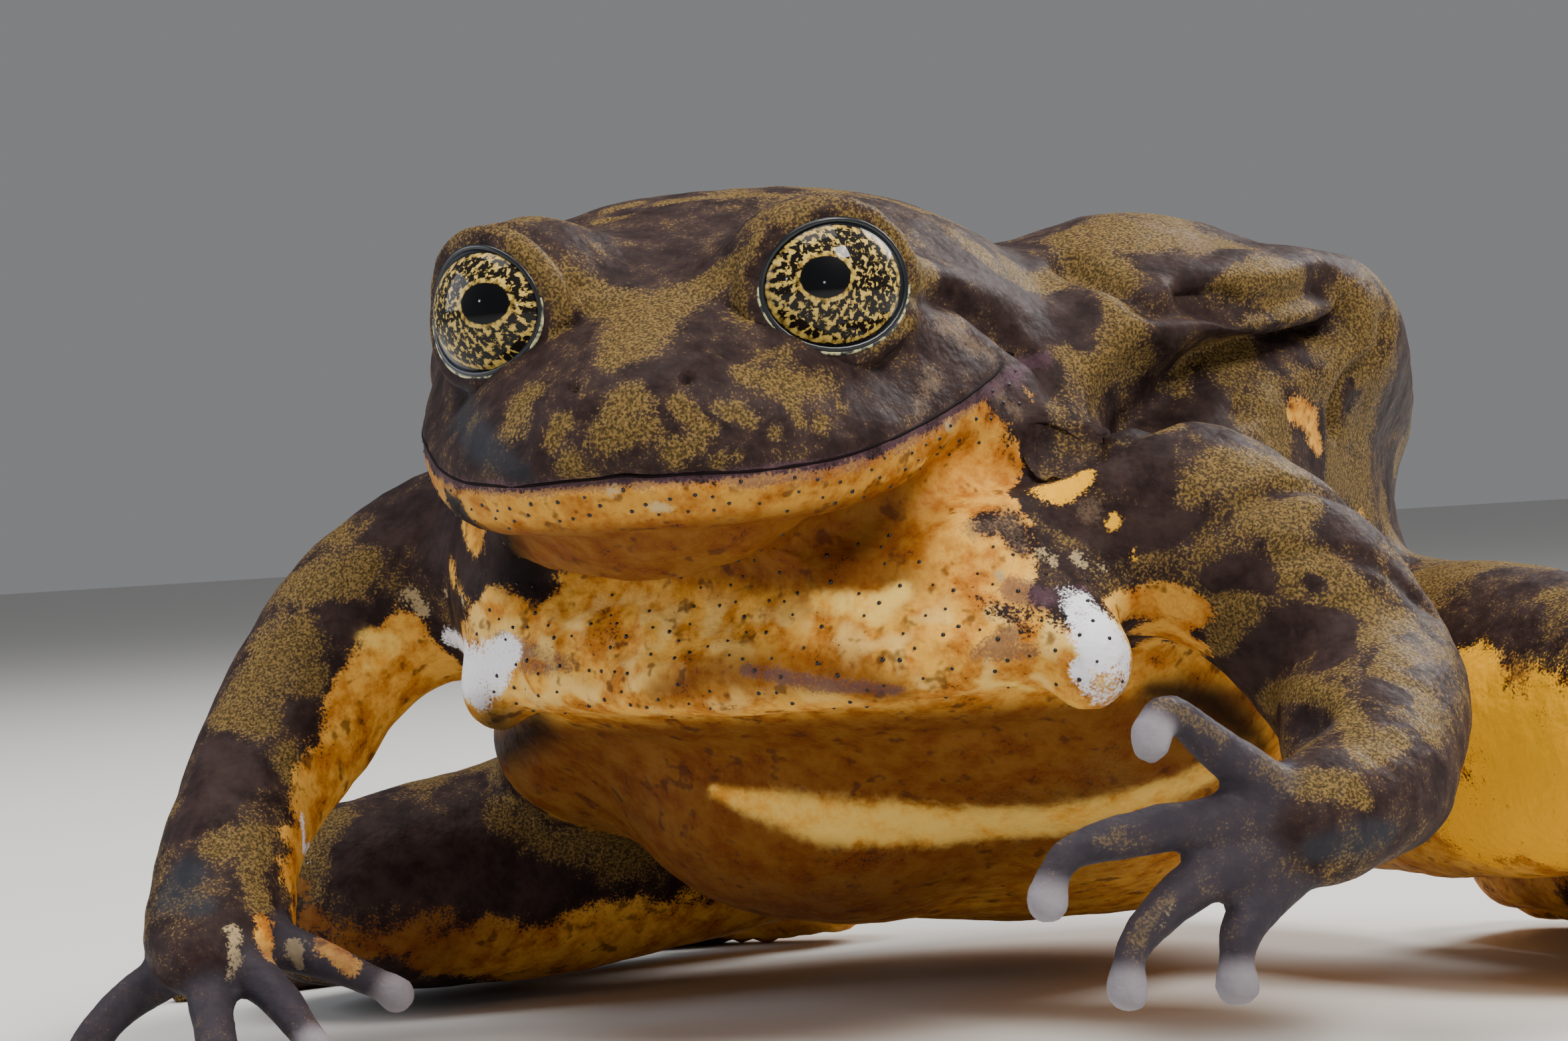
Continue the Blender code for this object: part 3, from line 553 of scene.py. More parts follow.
def smooth_step(low, high, value):
    t = np.clip((value - low) / (high - low), 0.0, 1.0)
    return t * t * (3.0 - 2.0 * t)


def round_eye(co, side):
    """For each point its distance from an eyeball's centre, the way to it, and how far it is outside the
    edge of the opening, in millimetres along the ball."""
    centre, across, up, look = (np.array(v) for v in eye_axes(side))
    ray = co - centre
    reach = np.maximum(np.linalg.norm(ray, axis=1), 1e-6)
    p, q = ray @ across, ray @ up
    flat = np.maximum(np.hypot(p, q), 1e-6)
    edge = np.arcsin(1.0 / np.hypot(p / flat / OPENING_WIDE, q / flat / OPENING_HIGH) / EYE_RADIUS)
    away = np.arccos(np.clip(ray @ look / reach, -1.0, 1.0))
    return reach, ray, (away - edge) * EYE_RADIUS


def close_lids(mesh, side):
    """Draws the skin over the eyeball's mound to the lid's profile, and sinks it inside the opening."""
    co = coordinates(mesh)
    reach, ray, outside = round_eye(co, side)
    wanted = EYE_RADIUS + np.interp(outside, *np.transpose(LID_PROFILE))
    share = 1.0 - smooth_step(*LID_BLEND, outside)
    share = share * (1.0 - smooth_step(EYE_RADIUS + LID_REACH[0], EYE_RADIUS + LID_REACH[1], reach))
    wanted = np.where(outside < -0.2, np.minimum(wanted, reach), wanted)
    put_coordinates(mesh, co + ray * (share * (wanted / reach - 1.0))[:, None])


def lid_path(side, start, end, outside, height=0.5):
    """Points round an eye, from one clock angle to another, 0 outwards and 90 up, just outside its edge."""
    centre, across, up, look = eye_axes(side)
    out = []
    for angle in np.radians(np.linspace(start, end, 40)):
        c, s = math.cos(angle), math.sin(angle)
        edge = math.asin(1.0 / math.hypot(c / OPENING_WIDE, s / OPENING_HIGH) / EYE_RADIUS)
        edge += outside / EYE_RADIUS
        way = look * math.cos(edge) + (across * c + up * s) * math.sin(edge)
        out.append(centre + way * (EYE_RADIUS + height))
    return np.array(out)


def distance_to_path(co, path):
    """Distance from each point to a line of points."""
    best = np.full(len(co), 1e9)
    for start, end in zip(path[:-1], path[1:]):
        along = end - start
        t = np.clip((co - start) @ along / max(along @ along, 1e-9), 0.0, 1.0)
        best = np.minimum(best, np.linalg.norm(co - start - t[:, None] * along, axis=1))
    return best


def head_path(points, side=LEFT, spacing=0.5):
    return smooth_curve([HEAD @ Vector((side * p[0], p[1], p[2])) for p in points], spacing)


def press(mesh, path, width, depth):
    """Moves the skin along its normals near a line, inwards for a negative depth."""
    co = coordinates(mesh)
    near = np.exp(-(distance_to_path(co, path) / width) ** 2)
    put_coordinates(mesh, co + normals(mesh) * (depth * near)[:, None])


# Line, width and depth of each press that runs from one side of the head to the other.
CROSS_PRESSES = (
    (MOUTH_LINE, 0.9, 0.12), (MOUTH_LINE, 0.28, -0.42), (UNDER_LIP, 1.0, -0.65), (THROAT_POUCH, 1.2, 0.55),
)


def both_sides(points):
    return np.vstack((head_path(points), head_path(points, RIGHT)[-2::-1]))


for side in (LEFT, RIGHT):
    close_lids(skin, side)
    press(skin, head_path(CHEEK_ROLL, side), 0.8, 0.45)
for points, width, depth in CROSS_PRESSES:
    press(skin, both_sides(points), width, depth)

# Height and size of the bumps that make the skin uneven all over, and of those of the breast.
UNEVEN = ((0.05, 0.9), (0.12, 3.1))
BREAST_LUMPS = (0.16, 1.1)

# Name, width, depth and line of each fold.
FOLDS = (
    ("under_nape_roll", 0.55, -0.7, ((8.2, 14.5, 27.6), (10.4, 13.4, 26.6), (12.1, 12.7, 25.6),
        (13.2, 14.1, 25.7), (14.1, 15.6, 25.8))),
    ("under_ridge", 0.55, -0.8, ((12.9, 14.6, 26.1), (15.3, 17.6, 25.8), (16.1, 21.5, 26.6))),
    ("flank_pocket", 1.15, -2.5, ((12.5, 11.0, 22.2), (13.4, 13.4, 22.6), (14.3, 15.5, 23.6),
        (15.9, 18.9, 24.0), (16.6, 21.9, 24.9))),
    ("shoulder_groove", 0.6, -0.7, ((11.1, 6.0, 21.3), (12.5, 5.9, 21.0), (14.1, 8.0, 21.7),
        (14.5, 16.1, 22.0))),
    ("flank_edge", 0.5, -0.6, ((16.9, 25.3, 24.6), (16.6, 24.7, 23.4), (16.0, 23.0, 22.6),
        (15.5, 22.6, 21.7), (15.3, 23.1, 20.9))),
    ("elbow_crease", 0.4, -0.4, ((16.2, 4.9, 17.3), (17.9, 5.8, 18.4), (19.4, 7.9, 18.8),
        (20.6, 10.5, 17.6))),
    ("elbow_crease_low", 0.35, -0.3, ((17.0, 5.3, 15.2), (19.4, 5.6, 16.6), (21.8, 7.4, 16.2),
        (23.2, 9.4, 14.2))),
    ("jaw_crease", 0.95, -1.5, ((10.6, 5.6, 20.6), (8.8, 3.5, 20.0), (4.7, 0.0, 17.7), (-0.4, 0.3, 16.6),
        (-7.1, 1.8, 17.1))),
    ("neck_hollow", 1.5, -1.5, ((11.6, 6.4, 21.6), (12.4, 8.6, 22.1), (13.2, 11.5, 22.6))),
    ("cheek_crease", 0.4, -0.5, ((8.3, 1.5, 26.0), (7.6, 5.1, 26.0), (8.1, 6.2, 25.5), (8.5, 7.3, 24.9),
        (8.9, 8.3, 24.2), (9.5, 8.7, 23.6), (10.3, 8.0, 22.7), (10.8, 6.7, 21.8), (10.7, 5.5, 20.9))),
    ("belly_crease", 0.9, -0.5, ((-9.0, 7.6, 10.4), (-4.0, 7.4, 9.6), (2.0, 7.4, 9.6), (8.5, 9.0, 10.2))),
    ("breast_arch", 1.3, -0.7, ((-5.5, 1.5, 13.6), (-2.5, 0.9, 14.4), (1.0, 0.8, 14.7), (4.5, 1.2, 14.0))),
    ("wrist_dimple", 0.8, -0.7, ((20.4, 1.9, 11.0), (21.3, 1.2, 11.0))),
)
for name, width, depth, points in FOLDS:
    press(skin, smooth_curve(points, 0.5), width, depth)
for side in (LEFT, RIGHT):
    press(skin, lid_path(side, 15, 140, 1.15), 0.3, -0.32)
    press(skin, lid_path(side, -10, -140, 1.0), 0.3, -0.34)
    nostril = np.array([HEAD @ Vector((side * NOSTRIL[0], NOSTRIL[1], NOSTRIL[2]))] * 2)
    press(skin, nostril, 0.7, 0.15)
    press(skin, nostril, 0.26, -0.6)
relax(skin, 2)
co = coordinates(skin)
breast_skin = smooth_step(19.5, 17.0, co[:, 2]) * smooth_step(12.0, 14.0, co[:, 2])
breast_skin *= smooth_step(7.0, 4.0, co[:, 1]) * smooth_step(12.5, 11.0, np.abs(co[:, 0] - 1.0))
uneven = np.array([sum(height * perlin(Vector(p) / size) for height, size in UNEVEN) for p in co])
height, size = BREAST_LUMPS
lumpy = np.array([height * perlin(Vector(p) / size) for p in co]) * breast_skin
put_coordinates(skin, co + normals(skin) * (uneven + lumpy)[:, None])


# The finished skin: thinned where it is plain, and kept fine on the head, hands and folds. It stands for
# all the nodes of flesh, so no seam shows, and it rests on the floor on small flats as they do.
SKIN_TRIANGLES = 185_000
FINE_PLACES = (((0.0, -1.0, 23.0), 16.0), ((20.5, -3.5, 8.0), 9.0), ((14.0, 8.0, 18.0), 10.0),
               ((-18.5, -2.0, 4.0), 8.0))
FLOOR_FLAT = 0.16
THINNING_STEPS = 10
THINNING_STEP = 0.095
LEAST_THINNING = 0.05
FLESH = ("head", "torso", *(f"{part}_{side}" for side in ("left", "right")
                            for part in ("upper_arm", "forearm", "hand", "thigh", "shank", "foot")))

co = coordinates(skin)
plain = np.ones(len(co))
for centre, radius in FINE_PLACES:
    distance = np.linalg.norm(co - centre, axis=1)
    plain = np.minimum(plain, smooth_step(0.8 * radius, 1.2 * radius, distance))
frog = new_object("frog_skin", skin)
group = frog.vertex_groups.new(name="plain")
for step in range(THINNING_STEPS + 1):
    chosen = np.flatnonzero(np.round(plain * THINNING_STEPS) == step)
    group.add(chosen.tolist(), LEAST_THINNING + THINNING_STEP * step, "REPLACE")
decimate = frog.modifiers.new("thin", "DECIMATE")
decimate.vertex_group = "plain"
decimate.ratio = SKIN_TRIANGLES / sum(len(polygon.vertices) - 2 for polygon in skin.polygons)
skin = applied(frog)
co = coordinates(skin)
co[:, 2] = np.where(co[:, 2] < FLOOR_FLAT, 0.0, co[:, 2])
put_coordinates(skin, co)
skin.shade_smooth()


# Markings, each kept as one number a point; among them are painted shade, in the hollows, under the jaw and
# on the belly, and painted light, on the belly band, chest and thigh. They are drawn as short strokes over
# the skin, x, y, z and radius at each point, and the skin's own grain breaks their edges into specks when
# they are coloured.
STROKES = {}
STROKES["gold"] = dict(
    brow_right=((-4.5, -4.2, 28.8, 0.33), (-3.6, -4.1, 28.1, 0.6), (-2.9, -3.6, 27.4, 0.66),
        (-2.1, -2.8, 26.8, 0.66), (-1.1, -2.8, 26.3, 0.86), (0.2, -3.6, 25.8, 1.12)),
    brow_left=((4.1, -1.7, 28.8, 0.24), (3.6, -2.2, 28, 0.42), (2.3, -1.7, 27.3, 0.55),
        (1.3, -1.9, 26.7, 0.66), (0.7, -2.8, 26.1, 0.92)),
    nose_bridge=((0.5, -4.3, 25.4, 1.18), (0.5, -5.4, 24.8, 0.91), (0.2, -6, 24.4, 0.45)),
    rim_left_eye=((3.7, -1.4, 28.8, 0.18), (5.3, -1.5, 29.2, 0.21), (6.3, -1.2, 29.2, 0.24),
        (6.9, -0.1, 28.9, 0.24)),
    temple=((7.5, 0.5, 28.7, 0.46), (8, 1.1, 28, 0.66), (7.2, 4.4, 27.2, 0.61), (8.1, 1.3, 26.2, 0.4)),
    crown=((3.1, 8.6, 30.2, 0.31), (4.6, 9.3, 29.6, 0.42), (5.6, 11.4, 28.9, 0.45)),
    crown_right=((-5, 4.5, 30.2, 0.42), (-4.3, 5, 30.4, 0.35)),
    nape_spot=((7.2, 11.8, 27.5, 0.63), (7.9, 11.1, 26.7, 0.42)),
    snout_wide=((1.3, -7, 22.8, 0.7), (0.6, -7.3, 21.9, 0.7), (1.8, -7, 22.1, 0.58)),
    snout_two=((2.7, -6.5, 22.7, 0.32), (3.3, -6.4, 22.1, 0.36), (3.8, -6.1, 21.8, 0.23)),
    snout_three=((2.8, -6.7, 21.2, 0.57), (3.3, -6.4, 21.3, 0.32)),
    snout_four=((3.9, -6, 20.8, 0.26), (3.9, -5.9, 20.8, 0.26)),
    snout_five=((3.8, -5.8, 22.5, 0.19), (4.4, -5.5, 22.3, 0.32), (4.8, -5.2, 22, 0.23)),
    under_eye_patch=((4.3, -4.4, 23.6, 0.39), (5, -3.9, 23.2, 0.58), (5.7, -2.9, 23.2, 0.52),
        (6.2, -1.9, 23.3, 0.33)),
    under_eye_tail=((5.6, -3.9, 22.6, 0.28), (5.9, -3.9, 21.9, 0.23)),
    lip_spot_one=((6.6, -2.2, 22.5, 0.23),),
    lip_spot_two=((6.4, -3.3, 21.8, 0.28), (6.4, -3.3, 21.7, 0.28)),
    lip_spot_three=((5.4, -4.8, 21.6, 0.21), (5.4, -4.7, 21.6, 0.21)),
    under_eye_flecks=((4.6, -3.2, 24.2, 0.34), (5, -2.7, 24.1, 0.34)),
    eye_corner=((7, 2.8, 25.7, 0.24), (8.1, 0.8, 24.9, 0.29), (7.5, 0.1, 24.6, 0.26),
        (7.1, -0.2, 24.3, 0.18)),
    right_cheek=((-2.5, -6.3, 23.5, 0.33), (-3.3, -6.2, 23.2, 0.59), (-3.2, -6.8, 22.4, 0.65)),
    right_cheek_spot=((-5.9, -5, 22.7, 0.24), (-5.8, -5.1, 22.7, 0.24)),
    right_snout_one=((-1.1, -7.3, 22.4, 0.36), (-1.5, -7.4, 21.8, 0.32)),
    right_snout_two=((-0.9, -7.4, 21, 0.45), (-0.2, -7.1, 20.7, 0.26)),
    nape=((7.6, 11, 27.1, 0.65), (8.2, 12.4, 26.6, 0.57), (8.9, 15.1, 27.8, 1.15), (10.4, 13.9, 26.8, 0.98),
        (7.7, 16, 28.4, 0.66)),
    nape_low=((11.2, 12, 25.6, 0.88), (11.8, 11.7, 24.6, 0.64), (11.3, 11.2, 24.3, 0.48)),
    ridge=((13.7, 15.2, 26.1, 0.65), (14.4, 17.1, 26.6, 0.82), (15.3, 19.1, 26.7, 0.99), (16, 19.9, 26, 0.83),
        (14.9, 16.5, 25.1, 0.65)),
    ridge_end=((16.6, 22.6, 25.7, 0.84), (16.8, 23.9, 24.7, 0.85), (16.6, 23.8, 23.7, 0.47)),
    neck_fleck=((9.2, 10.4, 24, 0.29), (9.7, 9.5, 23.9, 0.29)),
    shoulder_edge=((13.7, 6.2, 21, 0.39), (14.8, 7.2, 21.2, 0.46)),
    shoulder=((15.8, 5.6, 18.7, 0.61), (17, 6, 19.4, 0.92), (17.9, 7.1, 19.6, 0.77), (18.8, 8, 19.2, 0.61)),
    arm_top=((18.2, 5.8, 18.1, 0.76), (19.1, 5.9, 17.3, 0.76), (19.7, 7.3, 18.3, 0.53)),
    arm_middle=((19.5, 5.7, 16.2, 0.91), (20.7, 6.2, 15.5, 0.83), (21.4, 6.4, 14.7, 0.75)),
    arm_front=((17.9, 5.3, 15.1, 0.68), (16.9, 5.3, 14.8, 0.76), (16.7, 5.8, 13.7, 0.84)),
    arm_side=((22.1, 5.4, 13.7, 0.9), (22.6, 7.2, 14.2, 0.53)),
    arm_side_low=((23.3, 4.9, 13.1, 0.74), (23, 3.2, 12.6, 0.44), (24.5, 3.2, 11.7, 0.59),
        (25, 1.8, 10.6, 0.44)),
    wrist_ring=((17.8, 6.8, 11.5, 0.43), (19.8, 3.8, 12.1, 0.42), (21.7, 2, 11.9, 0.47),
        (23, 0.2, 11.1, 0.51), (23.9, -1.3, 10.1, 0.5), (24.5, 0.3, 10.6, 0.43)),
    hand_back=((21.7, -4.4, 10.2, 0.35), (22.1, -3.9, 9.7, 0.49), (22.8, -3.5, 9.5, 0.56),
        (23.8, -2.9, 9.3, 0.57), (24.3, -2.6, 8.7, 0.28)),
    thumb_top=((19.5, -7.7, 12.4, 0.18), (20.3, -6.7, 11.7, 0.18), (20.8, -5.9, 11.1, 0.18)),
    right_shoulder=((-19, 7, 19.2, 0.72),),
    right_upper=((-20.2, 5.7, 17.4, 0.96), (-18.4, 5.5, 17.5, 1.27), (-17.3, 5.8, 17.9, 0.79)),
    right_fore=((-19.2, 4.5, 15.5, 0.87), (-20.3, 4.4, 14.6, 1.27), (-20.6, 3.1, 13.8, 1.26),
        (-21.4, 2.4, 12.9, 0.94), (-19.9, 2.3, 12.5, 0.78)),
    right_fore_inner=((-18.7, 4.1, 13.9, 0.71),),
    right_fore_low=((-18.7, 2.1, 10.9, 0.7), (-18.4, 2, 10, 0.31)),
    right_wrist=((-19.3, -1.8, 8.2, 0.61), (-18.4, -1, 8.4, 0.69), (-17.9, -1.9, 7.1, 0.53)),
    crown_haze=((-2.8, 4.4, 30.2, 0.36), (-1, 5.3, 30.4, 0.36), (0.9, 5.6, 30.2, 0.3)),
    forehead_haze=((-5, 3.2, 29.7, 0.22), (-3.9, 3.4, 29.9, 0.22)),
    lip_flecks=((7.3, -1.7, 21.7, 0.1),),
    lip_fleck_two=((4.5, -5.7, 21, 0.15), (4.4, -5.6, 20.8, 0.13)),
    finger_two=((17.7, -9.1, 8.2, 0.19), (18.2, -8.6, 8.4, 0.19)),
    finger_three=((18.6, -8.8, 5.2, 0.22), (19, -8.2, 5.8, 0.22), (19.4, -7.7, 6.3, 0.19)),
    hand_gold_low=((-17.2, -2.5, 6.1, 0.51), (-17.9, -1.9, 7.1, 0.55)),
)
STROKES["tan"] = dict(
    hump_top=((10.2, 18.4, 28.8, 0.59), (11.5, 18.7, 28.4, 0.92), (12.7, 17.6, 27.6, 0.58)),
    breast=((9.2, 2.7, 18.1, 0.52), (10.1, 3.3, 18.2, 0.71), (10.6, 3.1, 17.4, 0.55)),
    breast_spot=((12.6, 4.6, 18.4, 0.46), (12.7, 4.6, 18.4, 0.46)),
    cheek=((8, 2.3, 23.2, 0.66), (8, 1, 22.3, 0.47), (7.9, 3.5, 22.4, 0.48)),
    cheek_top=((7.8, 4.1, 25, 0.74), (8.3, 5, 24.4, 0.67), (8.6, 6.2, 24, 0.41)),
    jaw_corner_haze=((9, 5.8, 22.7, 0.41), (9.6, 6.2, 22, 0.41)),
)
STROKES["cream"] = dict(
    lip_cream_one=((8.5, 2.4, 21.5, 0.24), (8.5, 2.5, 21.5, 0.24)),
    lip_cream_two=((3.4, -6, 20, 0.15), (3.5, -6, 20, 0.15)),
    lip_cream_three=((0.5, -7, 20, 0.23), (0.6, -6.9, 20, 0.23)),
    lip_cream_four=((1.8, -6.4, 19.5, 0.36), (2.1, -6.3, 19.4, 0.26)),
    wart_one=((11.3, 3.3, 17.1, 0.27), (11.7, 3.3, 16.8, 0.27)),
    wart_two=((12.3, 3.8, 16.9, 0.24), (12.6, 3.8, 16.6, 0.24)),
    wart_three=((13.1, 4.1, 16.5, 0.21), (13.3, 4.1, 16.4, 0.21)),
    wart_four=((10.1, 2.2, 16.4, 0.21), (10.2, 2.1, 16.3, 0.21)),
    right_wart_one=((-15.5, 6.2, 16.7, 0.39), (-15.1, 6.4, 16.1, 0.32)),
    right_wart_two=((-13.9, 6.1, 16.8, 0.19), (-13.5, 5.7, 16.7, 0.19)),
    right_wart_three=((-11.4, 3.1, 16.5, 0.18), (-11.3, 3, 16.3, 0.18)),
    finger_streak=((19.2, -8.2, 5.5, 0.12), (19.5, -7.7, 6.1, 0.12)),
    hand_cream=((-17.4, -4.1, 5.4, 0.39), (-17.1, -4.5, 4.4, 0.3), (-17.3, -4.8, 3.7, 0.18)),
    hand_cream_two=((-16, -2.4, 4.7, 0.39), (-15.9, -2.2, 3.8, 0.27)),
)
# Dark blots, which take away the orange and gold; at the side of the chin, behind the jaw and in the flank
# pocket they are painted shade.
STROKES["dark"] = dict(
    temple_blot=((7, 6.9, 27.5, 0.55), (7.4, 7.6, 27.3, 0.76), (7.8, 8.2, 27, 0.55)),
    neck_blot=((8.6, 9.1, 25.6, 1.19), (9.5, 11.1, 25.4, 1.21), (10.3, 10.7, 24.5, 0.56)),
    hump_rim=((11.9, 14.8, 26.9, 0.46), (12.9, 15.6, 26.8, 0.52), (13.6, 18.5, 27.5, 0.5)),
    ridge_foot=((13.8, 14.8, 25.4, 0.42), (13, 13.2, 25, 0.48)),
    pocket_painted_shade=((11.9, 6.8, 21.7, 0.78), (12.5, 9.6, 22.1, 1.11), (13.4, 13.4, 22.5, 1.45),
        (14.5, 15.8, 23.3, 1.14), (15.5, 17.8, 24.1, 0.82), (16.4, 20.5, 24.6, 0.5)),
    flank_edge=((15.6, 23.8, 21.9, 0.44), (16.2, 23.3, 22.9, 0.34), (16.5, 24.6, 23.2, 0.24)),
    shoulder_blot=((13.4, 5.1, 19.8, 0.54), (14.3, 5.5, 20.2, 0.84), (14.9, 5, 18.9, 0.53)),
    breast_dark=((11.6, 4.4, 18.5, 0.54), (13.5, 4.6, 17.5, 0.61), (14.9, 4.8, 17.7, 0.69),
        (16.3, 5, 17.8, 0.33)),
    arm_patch=((16.8, 5.1, 15.9, 0.43), (17.6, 5.2, 16, 0.64), (18.3, 5.3, 15.8, 0.53)),
    arm_patch_small=((20, 5.8, 15.6, 0.33), (20.3, 5.9, 15.4, 0.27)),
    arm_edge=((22.1, 8.7, 15.8, 0.4), (22.6, 8.3, 14.7, 0.27)),
    arm_low=((16.5, 6.9, 12.5, 0.55), (18, 5.7, 13.3, 0.68), (19.7, 5.5, 13.8, 0.83), (20.9, 5.8, 14.1, 0.54),
        (21.1, 4.2, 13.1, 0.67)),
    arm_low_side=((23.2, 2.2, 12.1, 0.38), (23.9, 2.3, 11.8, 0.44)),
    right_shoulder_dark=((-16.2, 6.8, 19.4, 0.71), (-15.4, 7.2, 20, 0.79), (-13.9, 6.4, 18.8, 0.87)),
    right_upper_dark=((-18.3, 5, 16.2, 0.63), (-17.6, 5.2, 15.7, 0.44)),
    right_fore_dark=((-18.7, 3.4, 12.7, 0.56), (-18.6, 3.4, 12.6, 0.56)),
    right_edge=((-21.4, 1.2, 11.6, 0.62), (-19.7, 0.5, 10.8, 0.77), (-20.3, -0.7, 10, 0.92),
        (-21, -1.4, 9.1, 0.77)),
    chin_side_painted_shade=((-6.7, -4.5, 19.5, 1.01), (-9, 1.7, 18.4, 1.21), (-7.7, 2, 17.4, 1.06),
        (-6.5, 1.7, 16.9, 0.45)),
    belly_side=((-17.4, 15.1, 10.9, 0.92),),
    leg_dark=((-21.9, 12.8, 6.5, 1.56), (-19, 15.1, 6.2, 1.57), (-17, 16.7, 4.7, 1.32)),
    jaw_corner_brown=((9, 5.6, 22.5, 0.62), (10, 6.5, 22, 0.78), (9.9, 5.4, 21.1, 0.62),
        (9.1, 4.1, 20.5, 0.4)),
    thigh_blot=((22.4, 17.2, 10.9, 0.52), (23.8, 16.2, 10.3, 0.47)),
    thigh_blot_two=((24.7, 15.9, 7.6, 0.51), (25, 15.8, 7.3, 0.51)),
    chin_far_painted_shade=((-14.1, 7.4, 19.6, 0.52), (-12.2, 4.6, 18.6, 0.71), (-10.7, 2.7, 17.3, 0.79),
        (-8.9, 1.9, 17.8, 0.7)),
    jaw_brown=((9, 6.9, 23.3, 0.46), (9.6, 6.7, 22.4, 0.54)),
    jaw_corner_dark=((9.6, 7.7, 23, 0.69), (9.2, 10.2, 23.6, 0.54)),
)
# Yellow spots on the breast and arm, and on the left thigh a painted pool of light.
STROKES["yellow_spots_and_painted_light"] = dict(
    breast_yellow=((10.5, 4.6, 19.5, 0.4), (11.4, 4.7, 19.2, 0.55), (12.2, 4.9, 19.5, 0.46)),
    arm_spot_one=((13.5, 4.6, 18.1, 0.2), (13.4, 4.6, 17.9, 0.2)),
    arm_spot_two=((14, 4.7, 16.8, 0.14),),
    thigh_painted_light=((21.5, 18.1, 12, 0.96), (22.2, 17.2, 10.2, 1.66), (23.6, 16.5, 7.8, 2.59),
        (20.5, 19.7, 5.7, 1.69), (25, 15.4, 9.2, 2.56), (24.2, 17.9, 5.3, 1.9)),
)
STROKES["orange"] = dict(
    under_hump=((15.1, 19.2, 21.6, 0.58), (15.3, 20.6, 21.2, 0.58), (15.2, 21.1, 20.2, 0.42)),
    pocket_spot=((14.6, 16.3, 21.8, 0.29), (14.6, 16.4, 21.8, 0.29)),
    inner_arm=((-16.7, 5.8, 14.7, 0.79), (-15.9, 6.3, 15.3, 0.95), (-17.6, 5.2, 13.5, 0.79),
        (-17.9, 4.5, 12.3, 0.6), (-17.8, 4.8, 11.3, 0.57), (-18.2, 4, 10.1, 0.41), (-18.3, 3.3, 9.3, 0.25)),
    right_palm=((-17.7, 0.4, 7.5, 0.31), (-24.8, 11.9, 5.5, 0.37)),
    flap=((13.6, 3.8, 14.8, 0.61), (14.2, 5.3, 15.1, 0.77), (15.2, 5.3, 15.1, 0.76), (16, 5.5, 14.8, 0.61),
        (13.7, 6.7, 14, 0.68), (14.6, 7, 13.8, 0.68), (15.4, 6.7, 13.5, 0.55), (12.5, 9, 13.3, 0.57),
        (13, 10.6, 13.1, 0.57)),
    right_leg_one=((-20.7, 14.4, 2.4, 0.89), (-19.4, 16.3, 1.9, 1.06), (-16.4, 20.6, 1.6, 0.8)),
    right_leg_two=((-16.4, 19.6, 2, 0.8), (-14.4, 22.7, 2.2, 0.81)),
    hand_inner=((-17.6, 0.4, 6.6, 0.37), (-24.3, 11.9, 4.2, 0.57), (-15, -1.5, 4.6, 0.6),
        (-14.2, -1.6, 3.8, 0.36)),
    hand_inner_low=((-16.9, -2.9, 5.5, 0.45), (-16.4, -3.4, 4.4, 0.36)),
)
STROKES["slate"] = dict(
    right_wrist_blue=((-20, -3.1, 7.3, 0.91), (-20.4, -3.6, 6.6, 0.68), (-18.8, -3.9, 6.3, 0.54)),
    wrist_dimple=((20.5, 1.9, 10.9, 0.62), (21.9, 0.4, 10.9, 0.52)),
    palm_side=((22.9, -4, 7.4, 0.42), (24, -2.8, 7.6, 0.64), (24.6, -1.7, 7.7, 0.43)),
    snout_blue=((-7.2, -3.4, 23.3, 0.67), (-4.7, -6.3, 21.8, 0.65), (-2.7, -7.2, 20.8, 0.39)),
)
# Pale patches and warts, and painted light: the bright band across the belly and the lit patches on the
# chest.
STROKES["pale_and_painted_light"] = dict(
    belly_band_painted_light=((-4.5, 8.7, 8.9, 0.34), (-2.4, 9, 8.3, 0.73), (-0.6, 9.6, 7.7, 1.02), (3, 12.1, 7.1, 1.17),
        (6.5, 13.4, 7.1, 1.17), (9.8, 14.3, 7.7, 1.06), (12, 15.5, 8.6, 0.87)),
    fold_edge=((9.5, 1, 13, 0.18), (10.5, 1.9, 12.7, 0.24), (9.3, 7.3, 12.2, 0.22)),
    right_inner_light=((-17, 5.5, 15.4, 0.38), (-16.3, 6.1, 14.8, 0.54), (-17.1, 5.7, 14.1, 0.41)),
    lip_light=((1.7, -6.5, 19.5, 0.21), (2.3, -6.2, 19.4, 0.15)),
    lip_warts=((8.8, 3.6, 21, 0.21), (8.4, 2.5, 20.6, 0.16), (7.8, 0.4, 20.2, 0.13)),
    chest_painted_light_low=((4, 0.5, 15.9, 0.41), (6.2, 0.6, 15.5, 0.6), (7, 1, 16, 0.41)),
    chest_painted_light_right=((-4.9, 1.2, 16, 0.31), (-2.4, 0.6, 15.9, 0.36), (-0.4, 0.4, 16, 0.33)),
    chest_painted_light_right_low=((-3.7, 0.6, 15.1, 0.28), (-2.6, 0.4, 14.9, 0.22)),
    fold_triangle=((-6.6, 1.5, 12.6, 0.2), (-4.8, 0.7, 12.8, 0.2), (-4, 0.4, 13, 0.14)),
    fold_gold=((9.7, 1.1, 12.9, 0.16), (8.9, 6.5, 12.4, 0.25), (9.2, 7.3, 12.2, 0.17)),
)
STROKES["white"] = dict(
    left_bump=((12.6, 2.6, 15.5, 0.55), (13.3, 2.1, 14.7, 0.84), (13.8, 2.2, 13.7, 0.99),
        (13.6, 2.8, 12.8, 0.82)),
    right_bump=((-14.3, 6.9, 15, 0.47), (-11.2, 2.9, 14, 1.07), (-9.9, 2.3, 14.3, 0.91),
        (-8.9, 2, 14.6, 0.61), (-10.7, 2.7, 13.1, 0.61)),
    wrist_line=((-18.1, 2, 8.9, 0.19), (-18.1, 2, 7.8, 0.25), (-24.3, 12.1, 6.5, 0.13)),
    left_bump_low=((13.1, 1.5, 13.1, 0.45), (13.4, 2.3, 12.3, 0.45), (13.6, 3.5, 12.2, 0.39)),
)
